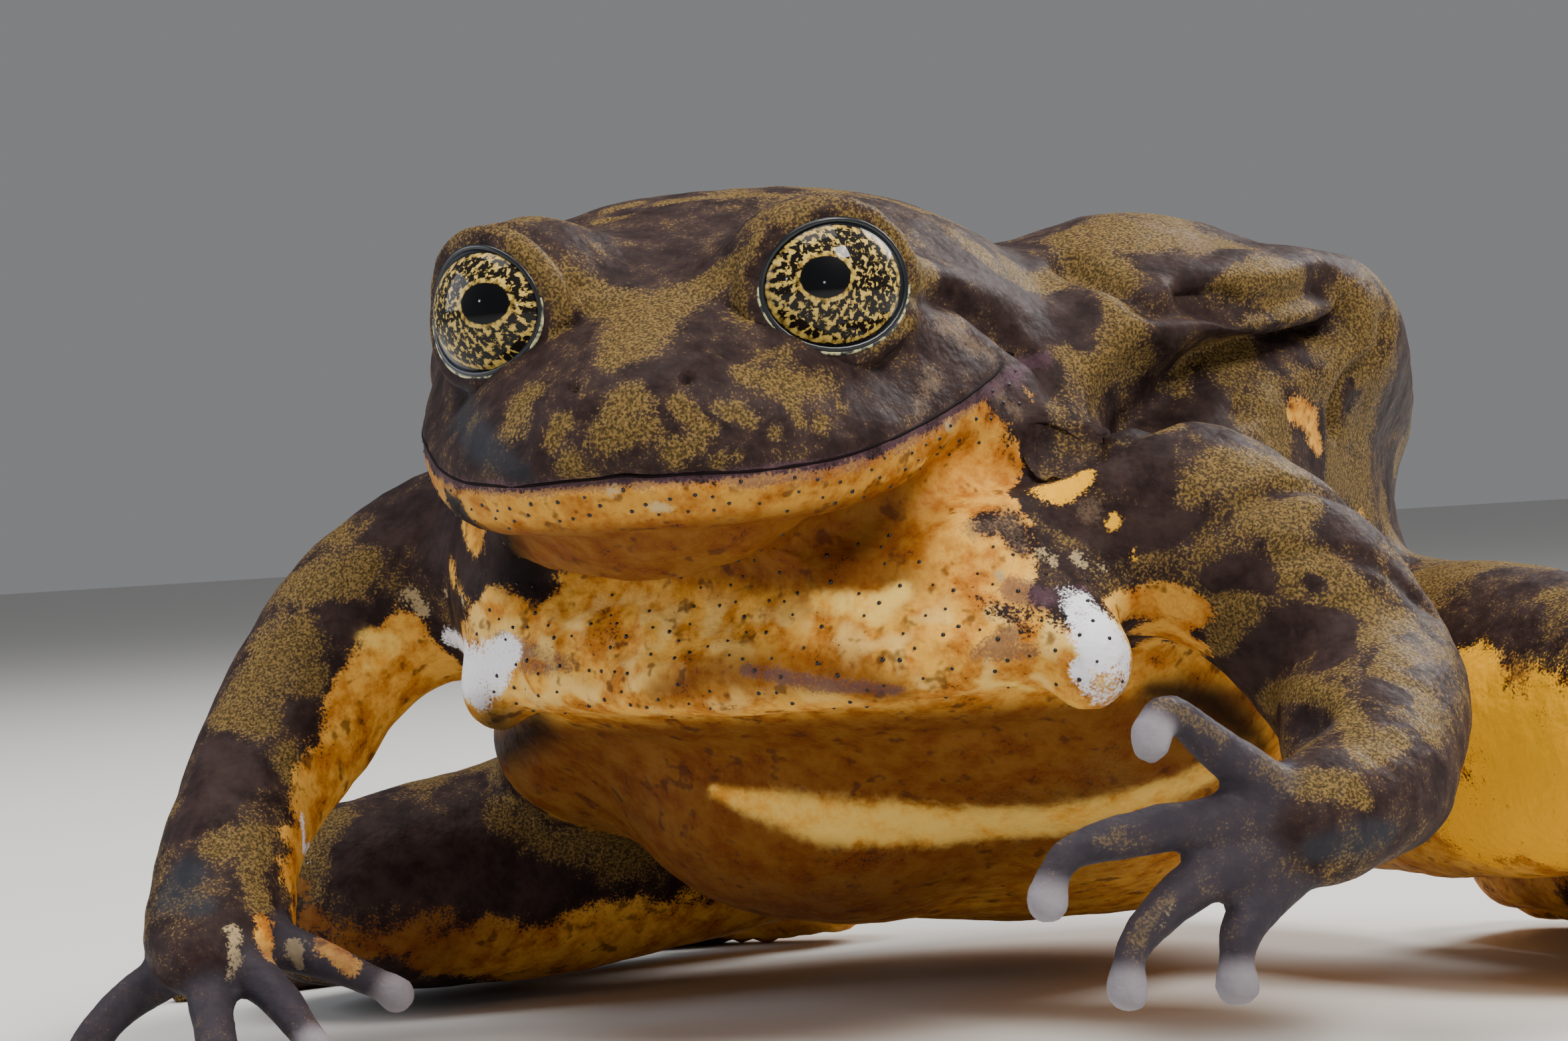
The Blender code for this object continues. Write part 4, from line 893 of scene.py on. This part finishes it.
STROKES["plum"] = dict(
    left_breast=((10.7, 2, 15.9, 0.55), (12, 2.2, 15.5, 0.45), (12.7, 3, 15.7, 0.36)),
    fold_low=((10.9, 1.2, 14.4, 0.39), (9.7, 0.8, 13.8, 0.33), (11.4, 1.4, 13.8, 0.36)),
    fold_middle=((1.6, -0.4, 13.7, 0.32), (4.2, -0.2, 13.1, 0.36), (6.9, 0.4, 12.7, 0.31)),
    right_breast=((-9.5, 2.2, 15.1, 0.33), (-8.1, 1.7, 14.6, 0.42), (-5.9, 0.9, 14.2, 0.33)),
    lip_corner=((7.6, -1, 20.6, 0.18), (7.9, 0.2, 21, 0.26), (8.4, 2.2, 21.6, 0.24), (8.8, 4.5, 22.4, 0.19)),
    lip_corner_far=((8.4, 4.8, 22.8, 0.24), (8.9, 7.1, 23.4, 0.27), (9.2, 7.9, 23.6, 0.27)),
    lip_dusk=((3.2, -6.1, 20.1, 0.2), (4.8, -5.1, 20.1, 0.31), (6.2, -3.6, 20.2, 0.36), (7.2, -2, 20.5, 0.34),
        (7.8, -0.2, 21, 0.34)),
    chest_plum=((-8.2, 1.7, 14.1, 0.37), (-5.6, 0.8, 14.1, 0.37), (-2.9, 0.2, 14.4, 0.31)),
)
# Painted shade: near black in the armpit cavity, the flank pocket, behind the jaw, under the right armpit
# bump and under the throat pouch.
STROKES["deep"] = dict(
    armpit_cavity=((12.1, 10.6, 11.9, 0.48), (12.7, 11.6, 11.8, 0.64), (13.3, 13.1, 11.3, 0.71),
        (13.5, 15.7, 10.2, 0.65), (13.4, 18.2, 9.2, 0.33)),
    behind_jaw=((-6.8, -4.7, 19.9, 0.58), (-6.2, -3.8, 18.7, 0.87), (-8.6, 2.3, 17.6, 0.91),
        (-7.3, 1.8, 16.9, 0.45)),
    under_bump=((-10.4, 3.3, 12.1, 0.92), (-11.8, 8.8, 11.6, 0.79), (-16.7, 14.2, 10.4, 0.66)),
    pocket_deep=((12.3, 6.4, 21.4, 0.56), (13.6, 8.4, 21.8, 0.88), (13.4, 13.5, 22.6, 1.22),
        (14.5, 15.8, 23.4, 0.98), (15.5, 17.9, 24, 0.72), (16.4, 20.9, 24.6, 0.43)),
    pouch_shadow=((-1.5, 0.1, 17, 0.11), (-0.8, 1.1, 16.8, 0.16), (0.7, 1.2, 16.7, 0.16), (2.8, 0, 17, 0.13),
        (4, 0, 17.4, 0.11)),
)
# Painted shade: a brown band under the throat pouch, and an arch of brown on the lower middle of the chest.
STROKES["painted_brown_shade"] = dict(
    neck_painted_shade=((-7, 1.5, 17.6, 0.62), (-4.4, 1, 17, 0.48), (-0.9, 0.4, 16.6, 0.42), (1.8, 1, 16.6, 0.41),
        (4.5, 0.5, 17.1, 0.41), (5.8, 0.7, 17.8, 0.33)),
    chest_arch_painted_shade=((-2.3, 0.1, 13, 0.56), (0.1, -0.3, 13.5, 0.77), (2.8, -0.3, 13.6, 0.9),
        (5.2, -0.1, 13.3, 0.81), (6.8, 0.5, 12.6, 0.6)),
)

FINGER_TIP = 0.78
FINGER_WIDTH = 1.15
STROKE_FADE = 0.12

co = coordinates(skin)
normal = normals(skin)
in_head = (co - np.array(HEAD.translation)) @ np.array(HEAD.to_3x3())


def laid(strokes, soft=0.35):
    """How well each point is covered by strokes: 1 inside, 0.5 at a stroke's edge, fading out softly."""
    cover = np.zeros(len(co))
    for stroke in strokes:
        rows = np.array(stroke, float)
        for start, end in zip(rows[:-1], rows[1:]) if len(rows) > 1 else [rows[[0, 0]]]:
            way = end[:3] - start[:3]
            t = np.clip((co - start[:3]) @ way / max(way @ way, 1e-9), 0.0, 1.0)
            radius = start[3] + t * (end[3] - start[3])
            outside = np.linalg.norm(co - start[:3] - t[:, None] * way, axis=1) - radius
            fade = STROKE_FADE + soft * radius
            cover = np.maximum(cover, 1.0 - smooth_step(-fade, fade, outside))
    return cover


def along(path, radius, soft=0.35):
    distance = distance_to_path(co, np.array(path, float))
    return 1.0 - smooth_step(radius * (1 - soft), radius * (1 + soft), distance)


def limb(rope, swell=1.25):
    radius = np.mean([row[3] for row in rope]) * swell
    return along([row[:3] for row in rope], radius, 0.15)


fingers = np.zeros(len(co))
tips = np.zeros(len(co))
for rope in FINGERS_LEFT + FINGERS_RIGHT:
    fingers = np.maximum(fingers, along([row[:3] for row in rope], FINGER_WIDTH, 0.25))
    tips = np.maximum(tips, laid([[(*rope[-1][:3], FINGER_TIP)]], 0.3))
arms = sum(limb(rope) for rope in (UPPER_ARM_LEFT, FOREARM_LEFT, UPPER_ARM_RIGHT, FOREARM_RIGHT, PALM_LEFT,
                                   PALM_RIGHT))
arms = np.clip(arms, 0.0, 1.0) * (1.0 - smooth_step(11.0, 8.0, np.abs(co[:, 0])))
thighs = np.clip(limb(THIGH_LEFT) + limb(THIGH_RIGHT), 0.0, 1.0)
shanks = np.clip(limb(SHANK_LEFT) + limb(SHANK_RIGHT), 0.0, 1.0)

_, mouth_back, mouth_up = np.transpose(MOUTH_LINE[::-1])
mouth_height = np.interp(in_head[:, 1], mouth_back, mouth_up)
below_mouth = mouth_height - in_head[:, 2]
is_head = smooth_step(-11.5, -10.0, in_head[:, 2]) * (1.0 - smooth_step(7.0, 9.0, in_head[:, 1]))
is_head = is_head * (1.0 - smooth_step(11.6, 12.4, np.abs(in_head[:, 0])))

chest_edge = 17.6 - 2.8 * smooth_step(8.5, 12.0, np.abs(co[:, 0] - TRUNK_MIDDLE))
chest_edge = chest_edge + 2.6 * smooth_step(14.0, 22.0, co[:, 1]) - 11.0 * smooth_step(25.0, 36.0, co[:, 1])
orange = smooth_step(chest_edge + 1.0, chest_edge - 1.0, co[:, 2])
under_mouth = smooth_step(0.0, 0.5, below_mouth) * (1 - smooth_step(4.5, 7.0, in_head[:, 1]))
orange = orange * (1.0 - is_head) + is_head * under_mouth
inner = smooth_step(0.35, 1.0, -normal[:, 2] + normal[:, 0]) * (co[:, 0] < 0)
orange = np.where(arms > 0.5, inner, orange)
under_leg = smooth_step(0.4, 0.0, normal[:, 2] + 0.25 * normal[:, 1])
under_leg = under_leg * np.where(co[:, 0] < 0, smooth_step(5.0, 2.5, co[:, 2]), 1.0)
orange = orange * (1 - thighs) + thighs * under_leg
orange = orange * (1 - shanks) + shanks * smooth_step(-0.1, -0.5, normal[:, 2])
feet = smooth_step(2.8, 2.2, co[:, 2]) * smooth_step(19.0, 21.0, np.abs(co[:, 0]))
orange = orange * (1.0 - np.maximum(fingers, feet))

# How far the edge of a stroke fades, as a share of its radius, for the markings with softer edges.
SOFT_STROKES = {"tan": 0.7, "painted_brown_shade": 0.8, "gold": 0.55, "yellow_spots_and_painted_light": 0.5, "pale_and_painted_light": 0.5, "deep": 0.8}
drawn = {name: laid(strokes.values(), SOFT_STROKES.get(name, 0.35)) for name, strokes in STROKES.items()}
painted_brown_shade = drawn.pop("painted_brown_shade")
orange = np.maximum(orange, drawn["orange"]) * (1.0 - drawn["dark"]) * (1.0 - 0.7 * drawn["tan"])

rims = [along(lid_path(side, -20, 200, 0.65), 0.4) for side in (LEFT, RIGHT)]
gold = np.maximum(drawn["gold"], 0.6 * np.maximum(*rims))
lip_margin = is_head * smooth_step(-0.3, 0.0, below_mouth) * smooth_step(0.75, 0.1, below_mouth)
front = is_head * (1.0 - smooth_step(5.0, 8.0, in_head[:, 1])) * smooth_step(2.0, -1.0, in_head[:, 2] - 2.0)
seen_breast = smooth_step(12.0, 10.0, co[:, 1]) * smooth_step(21.0, 19.0, co[:, 2])
wild = (1.0 - np.maximum(np.maximum(front, 0.55 * arms), seen_breast * (1.0 - arms))) * (1.0 - fingers)
# Painted shade under the jaw, on the upper belly and below the chest fold; on the lower lip the same brown is
# the lip's own redder tint.
throat_painted_shade = is_head * smooth_step(0.8, 1.9, below_mouth) * smooth_step(6.2, 5.0, below_mouth)
throat_painted_shade = throat_painted_shade * smooth_step(9.6, 7.0, np.abs(in_head[:, 0]))
trunk = 1 - arms
belly_painted_shade = trunk * smooth_step(12.3, 11.3, co[:, 2]) * smooth_step(2.0, 5.0, co[:, 1])
belly_painted_shade *= smooth_step(20.0, 14.0, co[:, 1])
breast = trunk * smooth_step(19.0, 17.5, co[:, 2]) * smooth_step(11.8, 12.8, co[:, 2])
breast *= smooth_step(7.0, 4.0, co[:, 1]) * (1.0 - is_head) * (1.0 - painted_brown_shade)
lip = is_head * smooth_step(0.2, 0.6, below_mouth) * smooth_step(2.2, 1.4, below_mouth)
painted_shade_and_lip_tint = np.max((0.85 * throat_painted_shade, 0.85 * belly_painted_shade, 0.75 * painted_brown_shade, 0.35 * lip), axis=0)
MARKINGS = drawn | {
    "orange": orange, "gold": gold, "wild": wild, "plum": np.maximum(drawn["plum"], lip_margin),
    "finger": fingers, "tip": tips, "painted_shade_and_lip_tint": painted_shade_and_lip_tint, "breast": breast,
}
for name, values in MARKINGS.items():
    skin.attributes.new(name, "FLOAT", "POINT").data.foreach_set("value", values.astype(np.float32))


# Amphibian skin: soft, damp and finely granular, with colour that lies in grains. Gold pigment sits in
# specks of about 0.1 mm whose density makes the patches; the grain is drawn a little coarser so it shows.
TIMES, TIMES_PLUS, PLUS, MINUS, LARGER = (
    {"operation": name} for name in ("MULTIPLY", "MULTIPLY_ADD", "ADD", "SUBTRACT", "MAXIMUM"))
SOFT_STEP = {"interpolation_type": "SMOOTHSTEP"}
COLOURS = {"data_type": "RGBA"}

# Size of a grain in millimetres, detail, roughness, and how far the noise is moved.
GRAINS = {
    "speck": (0.1, 2.0, 0.6, 0.0),
    "cloud": (1.3, 4.0, 0.68, 0.1),
    "patch": (5.0, 2.0, 0.55, 0.2),
    "granule": (0.26, 2.0, 0.5, 0.3),
    "wart": (1.1, 1.0, 0.4, 0.4),
    "swell": (0.9, 2.0, 0.5, 0.6),
    "spot": (0.8, 2.0, 0.6, 0.5),
}

wet_skin, tree, shader = new_material("damp_frog_skin", Roughness=0.55, IOR=1.4, Specular_IOR_Level=0.1,
                                      Subsurface_Weight=0.06, Subsurface_Radius=(0.0012, 0.0005, 0.0003))
place = add("TexCoord", out="Object")
grain = {}
for name, (size, detail, roughness, offset) in GRAINS.items():
    moved = add("Mapping", place, Location=(offset, offset, offset))
    grain[name] = add("TexNoise", moved, Scale=1 / (size * MILLIMETRE), Detail=detail, Roughness=roughness)
mark = {name: add("Attribute", attribute_name=name, out="Fac") for name in MARKINGS}
ragged = add("Math", grain["cloud"], 2.0, -1.0, **TIMES_PLUS)
specked = add("Math", grain["speck"], 1.6, add("Math", ragged, -0.8, **PLUS), **TIMES_PLUS)


def broken(name, low=0.3, high=0.7):
    """A marking whose edge the cloudy noise and the grain break up."""
    share = add("MapRange", add("Math", mark[name], specked, **PLUS), low, high, **SOFT_STEP)
    return add("Math", share, add("MapRange", mark[name], 0.02, 0.25, **SOFT_STEP), **TIMES)


wild_gold = add("Math", add("MapRange", grain["patch"], 0.44, 0.62, **SOFT_STEP), mark["wild"], **TIMES)
cover = add("Math", mark["gold"], add("Math", wild_gold, 0.85, **TIMES), **LARGER)
cover = add("Math", add("Math", cover, ragged, **PLUS), mark["dark"], **MINUS)
haze = add("Math", add("MapRange", cover, 0.0, 0.7, **SOFT_STEP), 0.55, **TIMES)
gold_share = add("Math", grain["speck"], 2.0, add("Math", cover, 1.0, **MINUS), **TIMES_PLUS)
gold_share = add("MapRange", gold_share, 0.2, 0.75, **SOFT_STEP)
orange_share = broken("orange")
gold_over = add("Math", gold_share, add("Math", orange_share, -0.8, 1.0, **TIMES_PLUS), **TIMES)
light_wart = add("Math", add("MapRange", grain["wart"], 0.48, 0.66, **SOFT_STEP), mark["breast"], **TIMES)
dark_spots = add("MapRange", grain["spot"], 0.58, 0.7, **SOFT_STEP)
pale_and_lit_share = add("Math", ragged, 0.7, mark["pale_and_painted_light"], **TIMES_PLUS)
pale_and_lit_share = add("Math", mark["pale_and_painted_light"], add("MapRange", pale_and_lit_share, 0.1, 0.9, **SOFT_STEP), **TIMES)

# Pairs of colours that a noise mixes: noise, the levels between which it goes from one to the other, both.
dark_colour, orange_colour, gold_colour, pale_and_lit_colour = (
    add("Mix", add("MapRange", grain[name], low, high, **SOFT_STEP), under, over, **COLOURS)
    for name, low, high, under, over in (
        ("cloud", 0.3, 0.7, "#261b1a", "#3e2f2c"),
        ("cloud", 0.35, 0.65, "#b87020", "#efb24a"),
        ("speck", 0.38, 0.66, "#42341c", "#83693c"),
        ("cloud", 0.3, 0.6, "#f0a93a", "#ffd46c"),
    ))
dark_colour = add("Mix", haze, dark_colour, "#48372b", **COLOURS)
# Painted shade: the orange turns brown under the jaw, on the upper belly and below the chest fold, and a
# little on the lower lip as its redder tint.
orange_colour = add("Mix", mark["painted_shade_and_lip_tint"], orange_colour, "#5c2c0f", **COLOURS)

# Colours laid over one another in this order: where, how strong, and what.
for share, strength, over in (
    (light_wart, 0.8, "#f6cc74"),
    (dark_spots, 0.7, "#4a2614"),
):
    orange_colour = add("Mix", add("Math", share, strength, **TIMES), orange_colour, over, **COLOURS)
colour = dark_colour
for share, strength, over in (
    (orange_share, 1.0, orange_colour),
    (gold_over, 1.0, gold_colour),
    (broken("tan", 0.45, 1.2), 0.6, "#75604c"),
    (broken("plum", 0.4, 1.1), 0.7, "#563e48"),
    (mark["slate"], 0.55, "#2c343c"),
    # Yellow spots, and painted light on the thigh.
    (broken("yellow_spots_and_painted_light"), 1.0, "#ffb925"),
    # Pale patches, with painted light on the belly band and chest.
    (pale_and_lit_share, 1.0, pale_and_lit_colour),
    (broken("cream", 0.5, 0.9), 0.8, "#b9a278"),
    (mark["finger"], 0.5, "#3f3e48"),
    (broken("white", 0.4, 0.9), 1.0, "#fbf9fd"),
    # Painted shade, near black, in the hollows and under the jaw.
    (mark["deep"], 0.9, "#0d0908"),
    (mark["tip"], 0.75, "#a9a2a8"),
):
    colour = add("Mix", add("Math", share, strength, **TIMES), colour, over, **COLOURS)
relief = add("Math", grain["granule"], 0.4, add("Math", grain["swell"], 1.2, **TIMES), **TIMES_PLUS)
relief = add("Math", add("Math", grain["wart"], mark["breast"], **TIMES), 2.0, relief, **TIMES_PLUS)
bump = add("Bump", Height=relief, Strength=0.5, Distance=0.2 * MILLIMETRE)
gloss = add("MapRange", grain["granule"], To_Min=0.45, To_Max=0.65)
for socket, value in (("Base Color", colour), ("Normal", bump), ("Roughness", gloss)):
    tree.links.new(value, shader.inputs[socket])

skin.transform(PLACE)
frog = new_object("frog_skin", skin, wet_skin)
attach(frog, "root")
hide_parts(*FLESH)


# Eyeballs: a clear cornea over a gold-flecked iris with an oval pupil that lies level. Each is a polished
# ball painted like a glass eye, whose clear coat gives the wet gloss over the matt iris.
# Middle, half width and half height of the pupil and the iris; how far the right eye's map is moved; and
# size, detail, roughness and distortion of the flecks, of their clusters and of their tint.
PUPIL = (0.6, 0.27, 0.79, 0.68)
IRIS = (0.1, 0.0, 2.36, 2.02)
INWARD = {LEFT: 0.0, RIGHT: 0.4}
FLECKS = ((0.2, 3.0, 0.62, 0.4), (1.6, 1.0, 0.5, 0.0), (0.2, 2.0, 0.5, 0.0))
MAP_SCALE = 0.1


def eye_ball(side):
    """The ball, with a map that reads millimetres across and up its face from the middle of the iris."""
    centre, across, up, look = eye_axes(side)
    bm = bmesh.new()
    bmesh.ops.create_uvsphere(bm, u_segments=96, v_segments=48, radius=EYE_RADIUS)
    layer = bm.loops.layers.uv.new("eye_face")
    turn = Matrix((across, up, look)).transposed().to_4x4()
    for face in bm.faces:
        face.smooth = True
        for loop in face.loops:
            x, y, z = loop.vert.co
            wrap = 1.0 if z > 0 else 2.0 - math.hypot(x, y) / EYE_RADIUS
            loop[layer].uv = (0.5 + MAP_SCALE * (x * wrap - INWARD[side]), 0.5 + MAP_SCALE * y * wrap)
    bm.transform(Matrix.Translation(centre) @ turn)
    bmesh.ops.recalc_face_normals(bm, faces=bm.faces[:])
    mesh = bpy.data.meshes.new("eye_ball")
    bm.to_mesh(mesh)
    bm.free()
    mesh.transform(PLACE)
    return mesh


glass_eye, tree, shader = new_material("gold_iris_under_cornea", Roughness=0.5, IOR=1.376, Coat_Weight=0.6,
                                       Coat_Roughness=0.03, Coat_IOR=1.376, Specular_IOR_Level=0.1)
face_map = add("UVMap", uv_map="eye_face")
place = add("Mapping", face_map, Location=(-0.5 / MAP_SCALE, -0.5 / MAP_SCALE, 0.0),
            Scale=(1 / MAP_SCALE, 1 / MAP_SCALE, 1.0))
from_pupil, from_iris = (
    add("VectorMath", add("Mapping", place, Location=(-x / wide, -y / high, 0.0),
                          Scale=(1 / wide, 1 / high, 1.0)), operation="LENGTH")
    for x, y, wide, high in (PUPIL, IRIS))
fleck, cluster, tint = (
    add("TexNoise", place, Scale=1 / size, Detail=detail, Roughness=roughness, Distortion=distortion)
    for size, detail, roughness, distortion in FLECKS)
in_iris, rim_out, rim_in, off_pupil, collar_out, collar_in, ring_fade, pupil_share, ring_share = (
    add("MapRange", distance, start, end, **SOFT_STEP) for distance, start, end in (
        (from_iris, 1.0, 0.975), (from_iris, 0.90, 0.955), (from_iris, 1.0, 0.965),
        (from_pupil, 1.02, 1.08), (from_pupil, 1.02, 1.1), (from_pupil, 1.35, 1.15),
        (from_iris, 1.02, 1.12), (from_pupil, 1.04, 0.98), (from_iris, 0.985, 1.015)))
rim = add("Math", rim_out, rim_in, **TIMES)
edges = add("Math", rim, add("Math", collar_out, collar_in, **TIMES), **LARGER)
density = add("Math", edges, 0.16, add("Math", cluster, 0.2, fleck, **TIMES_PLUS), **TIMES_PLUS)
gold_flecks = add("Math", add("MapRange", density, 0.63, 0.655, **SOFT_STEP), in_iris, **TIMES)
gold_flecks = add("Math", gold_flecks, off_pupil, **TIMES)
fleck_colour = add("Mix", add("MapRange", tint, 0.35, 0.65, **SOFT_STEP), "#6f5720", "#d2b25a", **COLOURS)
ring_colour = add("Mix", ring_fade, "#0d0f12", "#2a333c", **COLOURS)
colour = add("Mix", gold_flecks, "#120c08", fleck_colour, **COLOURS)
for share, over in ((pupil_share, "#030406"), (ring_share, ring_colour)):
    colour = add("Mix", share, colour, over, **COLOURS)
tree.links.new(colour, shader.inputs["Base Color"])

for side, name in ((LEFT, "left"), (RIGHT, "right")):
    ball = new_object(f"eyeball_{name}", eye_ball(side), glass_eye)
    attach(ball, "root")
    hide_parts(f"eye_{name}")


# Lid margins: a blue-black bead of bare skin all round the opening, and on its lower half a paler, broken
# line of green-gold. Each is a thin round bead laid along the edge of the lid.
DASH = 0.34
MARGIN_RADIUS = 0.12
LID_LINE_RADIUS = 0.09
bare_margin, tree, shader = new_material("blue_black_lid_margin", Roughness=0.3, Base_Color="#14171c")
pale_margin, tree, shader = new_material("green_gold_lid_line", Roughness=0.4)
place = add("TexCoord", out="Object")
dashes = add("TexNoise", place, Scale=1 / (DASH * MILLIMETRE), Detail=2.0, Roughness=0.6)
dashes = add("MapRange", dashes, 0.42, 0.56, **SOFT_STEP)
tree.links.new(add("Mix", dashes, "#2c3032", "#c9c690", **COLOURS), shader.inputs["Base Color"])


def bead(name, path, radius, closed, material):
    curve = bpy.data.curves.new(name, "CURVE")
    curve.dimensions = "3D"
    curve.bevel_depth = radius
    curve.bevel_resolution = 3
    curve.use_fill_caps = True
    spline = curve.splines.new("POLY")
    spline.points.add(len(path) - 1)
    spline.points.foreach_set("co", np.hstack((path, np.ones((len(path), 1)))).ravel())
    spline.use_cyclic_u = closed
    mesh = applied(new_object(name, curve))
    mesh.transform(PLACE)
    mesh.shade_smooth()
    thing = new_object(name, mesh, material)
    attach(thing, "root")


for side, name in ((LEFT, "left"), (RIGHT, "right")):
    bead(f"lid_margin_{name}", lid_path(side, 0, 351, 0.02, 0.03), MARGIN_RADIUS, True, bare_margin)
    bead(f"lid_line_{name}", lid_path(side, -172, 12, 0.1, 0.11), LID_LINE_RADIUS, False, pale_margin)


# The closed lips meet in a hair-thin line of dark, reddish skin, laid into the crease of the mouth.
lip_skin, tree, shader = new_material("dark_lip_skin", Roughness=0.75, Base_Color="#150b0c",
                                      Specular_IOR_Level=0.1)
SMOOTHINGS = 6
LIP_RADIUS = 0.06
skin_tree = BVHTree.FromPolygons([v.co for v in skin.vertices], [p.vertices for p in skin.polygons])
lip_line = []
for point in smooth_curve(both_sides(MOUTH_LINE), 0.3):
    place_on, facing, _, _ = skin_tree.find_nearest(PLACE @ Vector(point))
    lip_line.append(PLACE.inverted() @ place_on - facing * 0.01)
lip_line = np.array(lip_line)
for _ in range(SMOOTHINGS):
    lip_line[1:-1] = (lip_line[:-2] + 2.0 * lip_line[1:-1] + lip_line[2:]) / 4.0
bead("lip_line", lip_line, LIP_RADIUS, False, lip_skin)


# Horny spicules: black points, each about 0.2 mm across, that stud the lower lip and the breast. Each is a
# low cone of a few faces set a little into the skin; the draws are seeded, so they always fall alike.
SPICULE_WIDE = 0.105
SPICULE_HIGH = 0.1
LIP_DRAWS = 120
BREAST_DRAWS = 340
LEAST_GAP = 0.55
FARTHEST_FROM_SKIN = 2.2 * MILLIMETRE
rng = np.random.default_rng(7)
spots = []
for side in (LEFT, RIGHT):
    lip = head_path(MOUTH_LINE, side, 0.25)
    for _ in range(LIP_DRAWS):
        point = lip[rng.integers(len(lip))]
        drop = 0.45 + 1.6 * rng.random() ** 1.3
        spots.append(Vector(point) - Vector((0, 0, drop)) + Vector(rng.normal(0, 0.12, 3)))
for _ in range(BREAST_DRAWS):
    spots.append(Vector((rng.uniform(-10.5, 14.6), rng.uniform(-1.5, 3.5), rng.uniform(12.2, 17.4))))

bm = bmesh.new()
kept = []
for spot in spots:
    place_on, facing, _, distance = skin_tree.find_nearest(PLACE @ spot)
    point = PLACE.inverted() @ place_on
    if distance > FARTHEST_FROM_SKIN or any((point - other).length < LEAST_GAP for other in kept):
        continue
    kept.append(point)
    size = rng.uniform(0.7, 1.15)
    turn = facing.to_track_quat("Z", "Y").to_matrix().to_4x4()
    bmesh.ops.create_cone(bm, cap_ends=True, segments=8, radius1=SPICULE_WIDE * size,
                          radius2=SPICULE_WIDE * 0.45 * size, depth=SPICULE_HIGH,
                          matrix=PLACE @ Matrix.Translation(point) @ turn)
mesh = bpy.data.meshes.new("spicules")
bm.to_mesh(mesh)
bm.free()
mesh.shade_smooth()
horn, tree, shader = new_material("black_horn_points", Roughness=0.35, Base_Color="#0c0908")
spicules = new_object("spicules", mesh, horn)
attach(spicules, "root")

low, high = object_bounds()
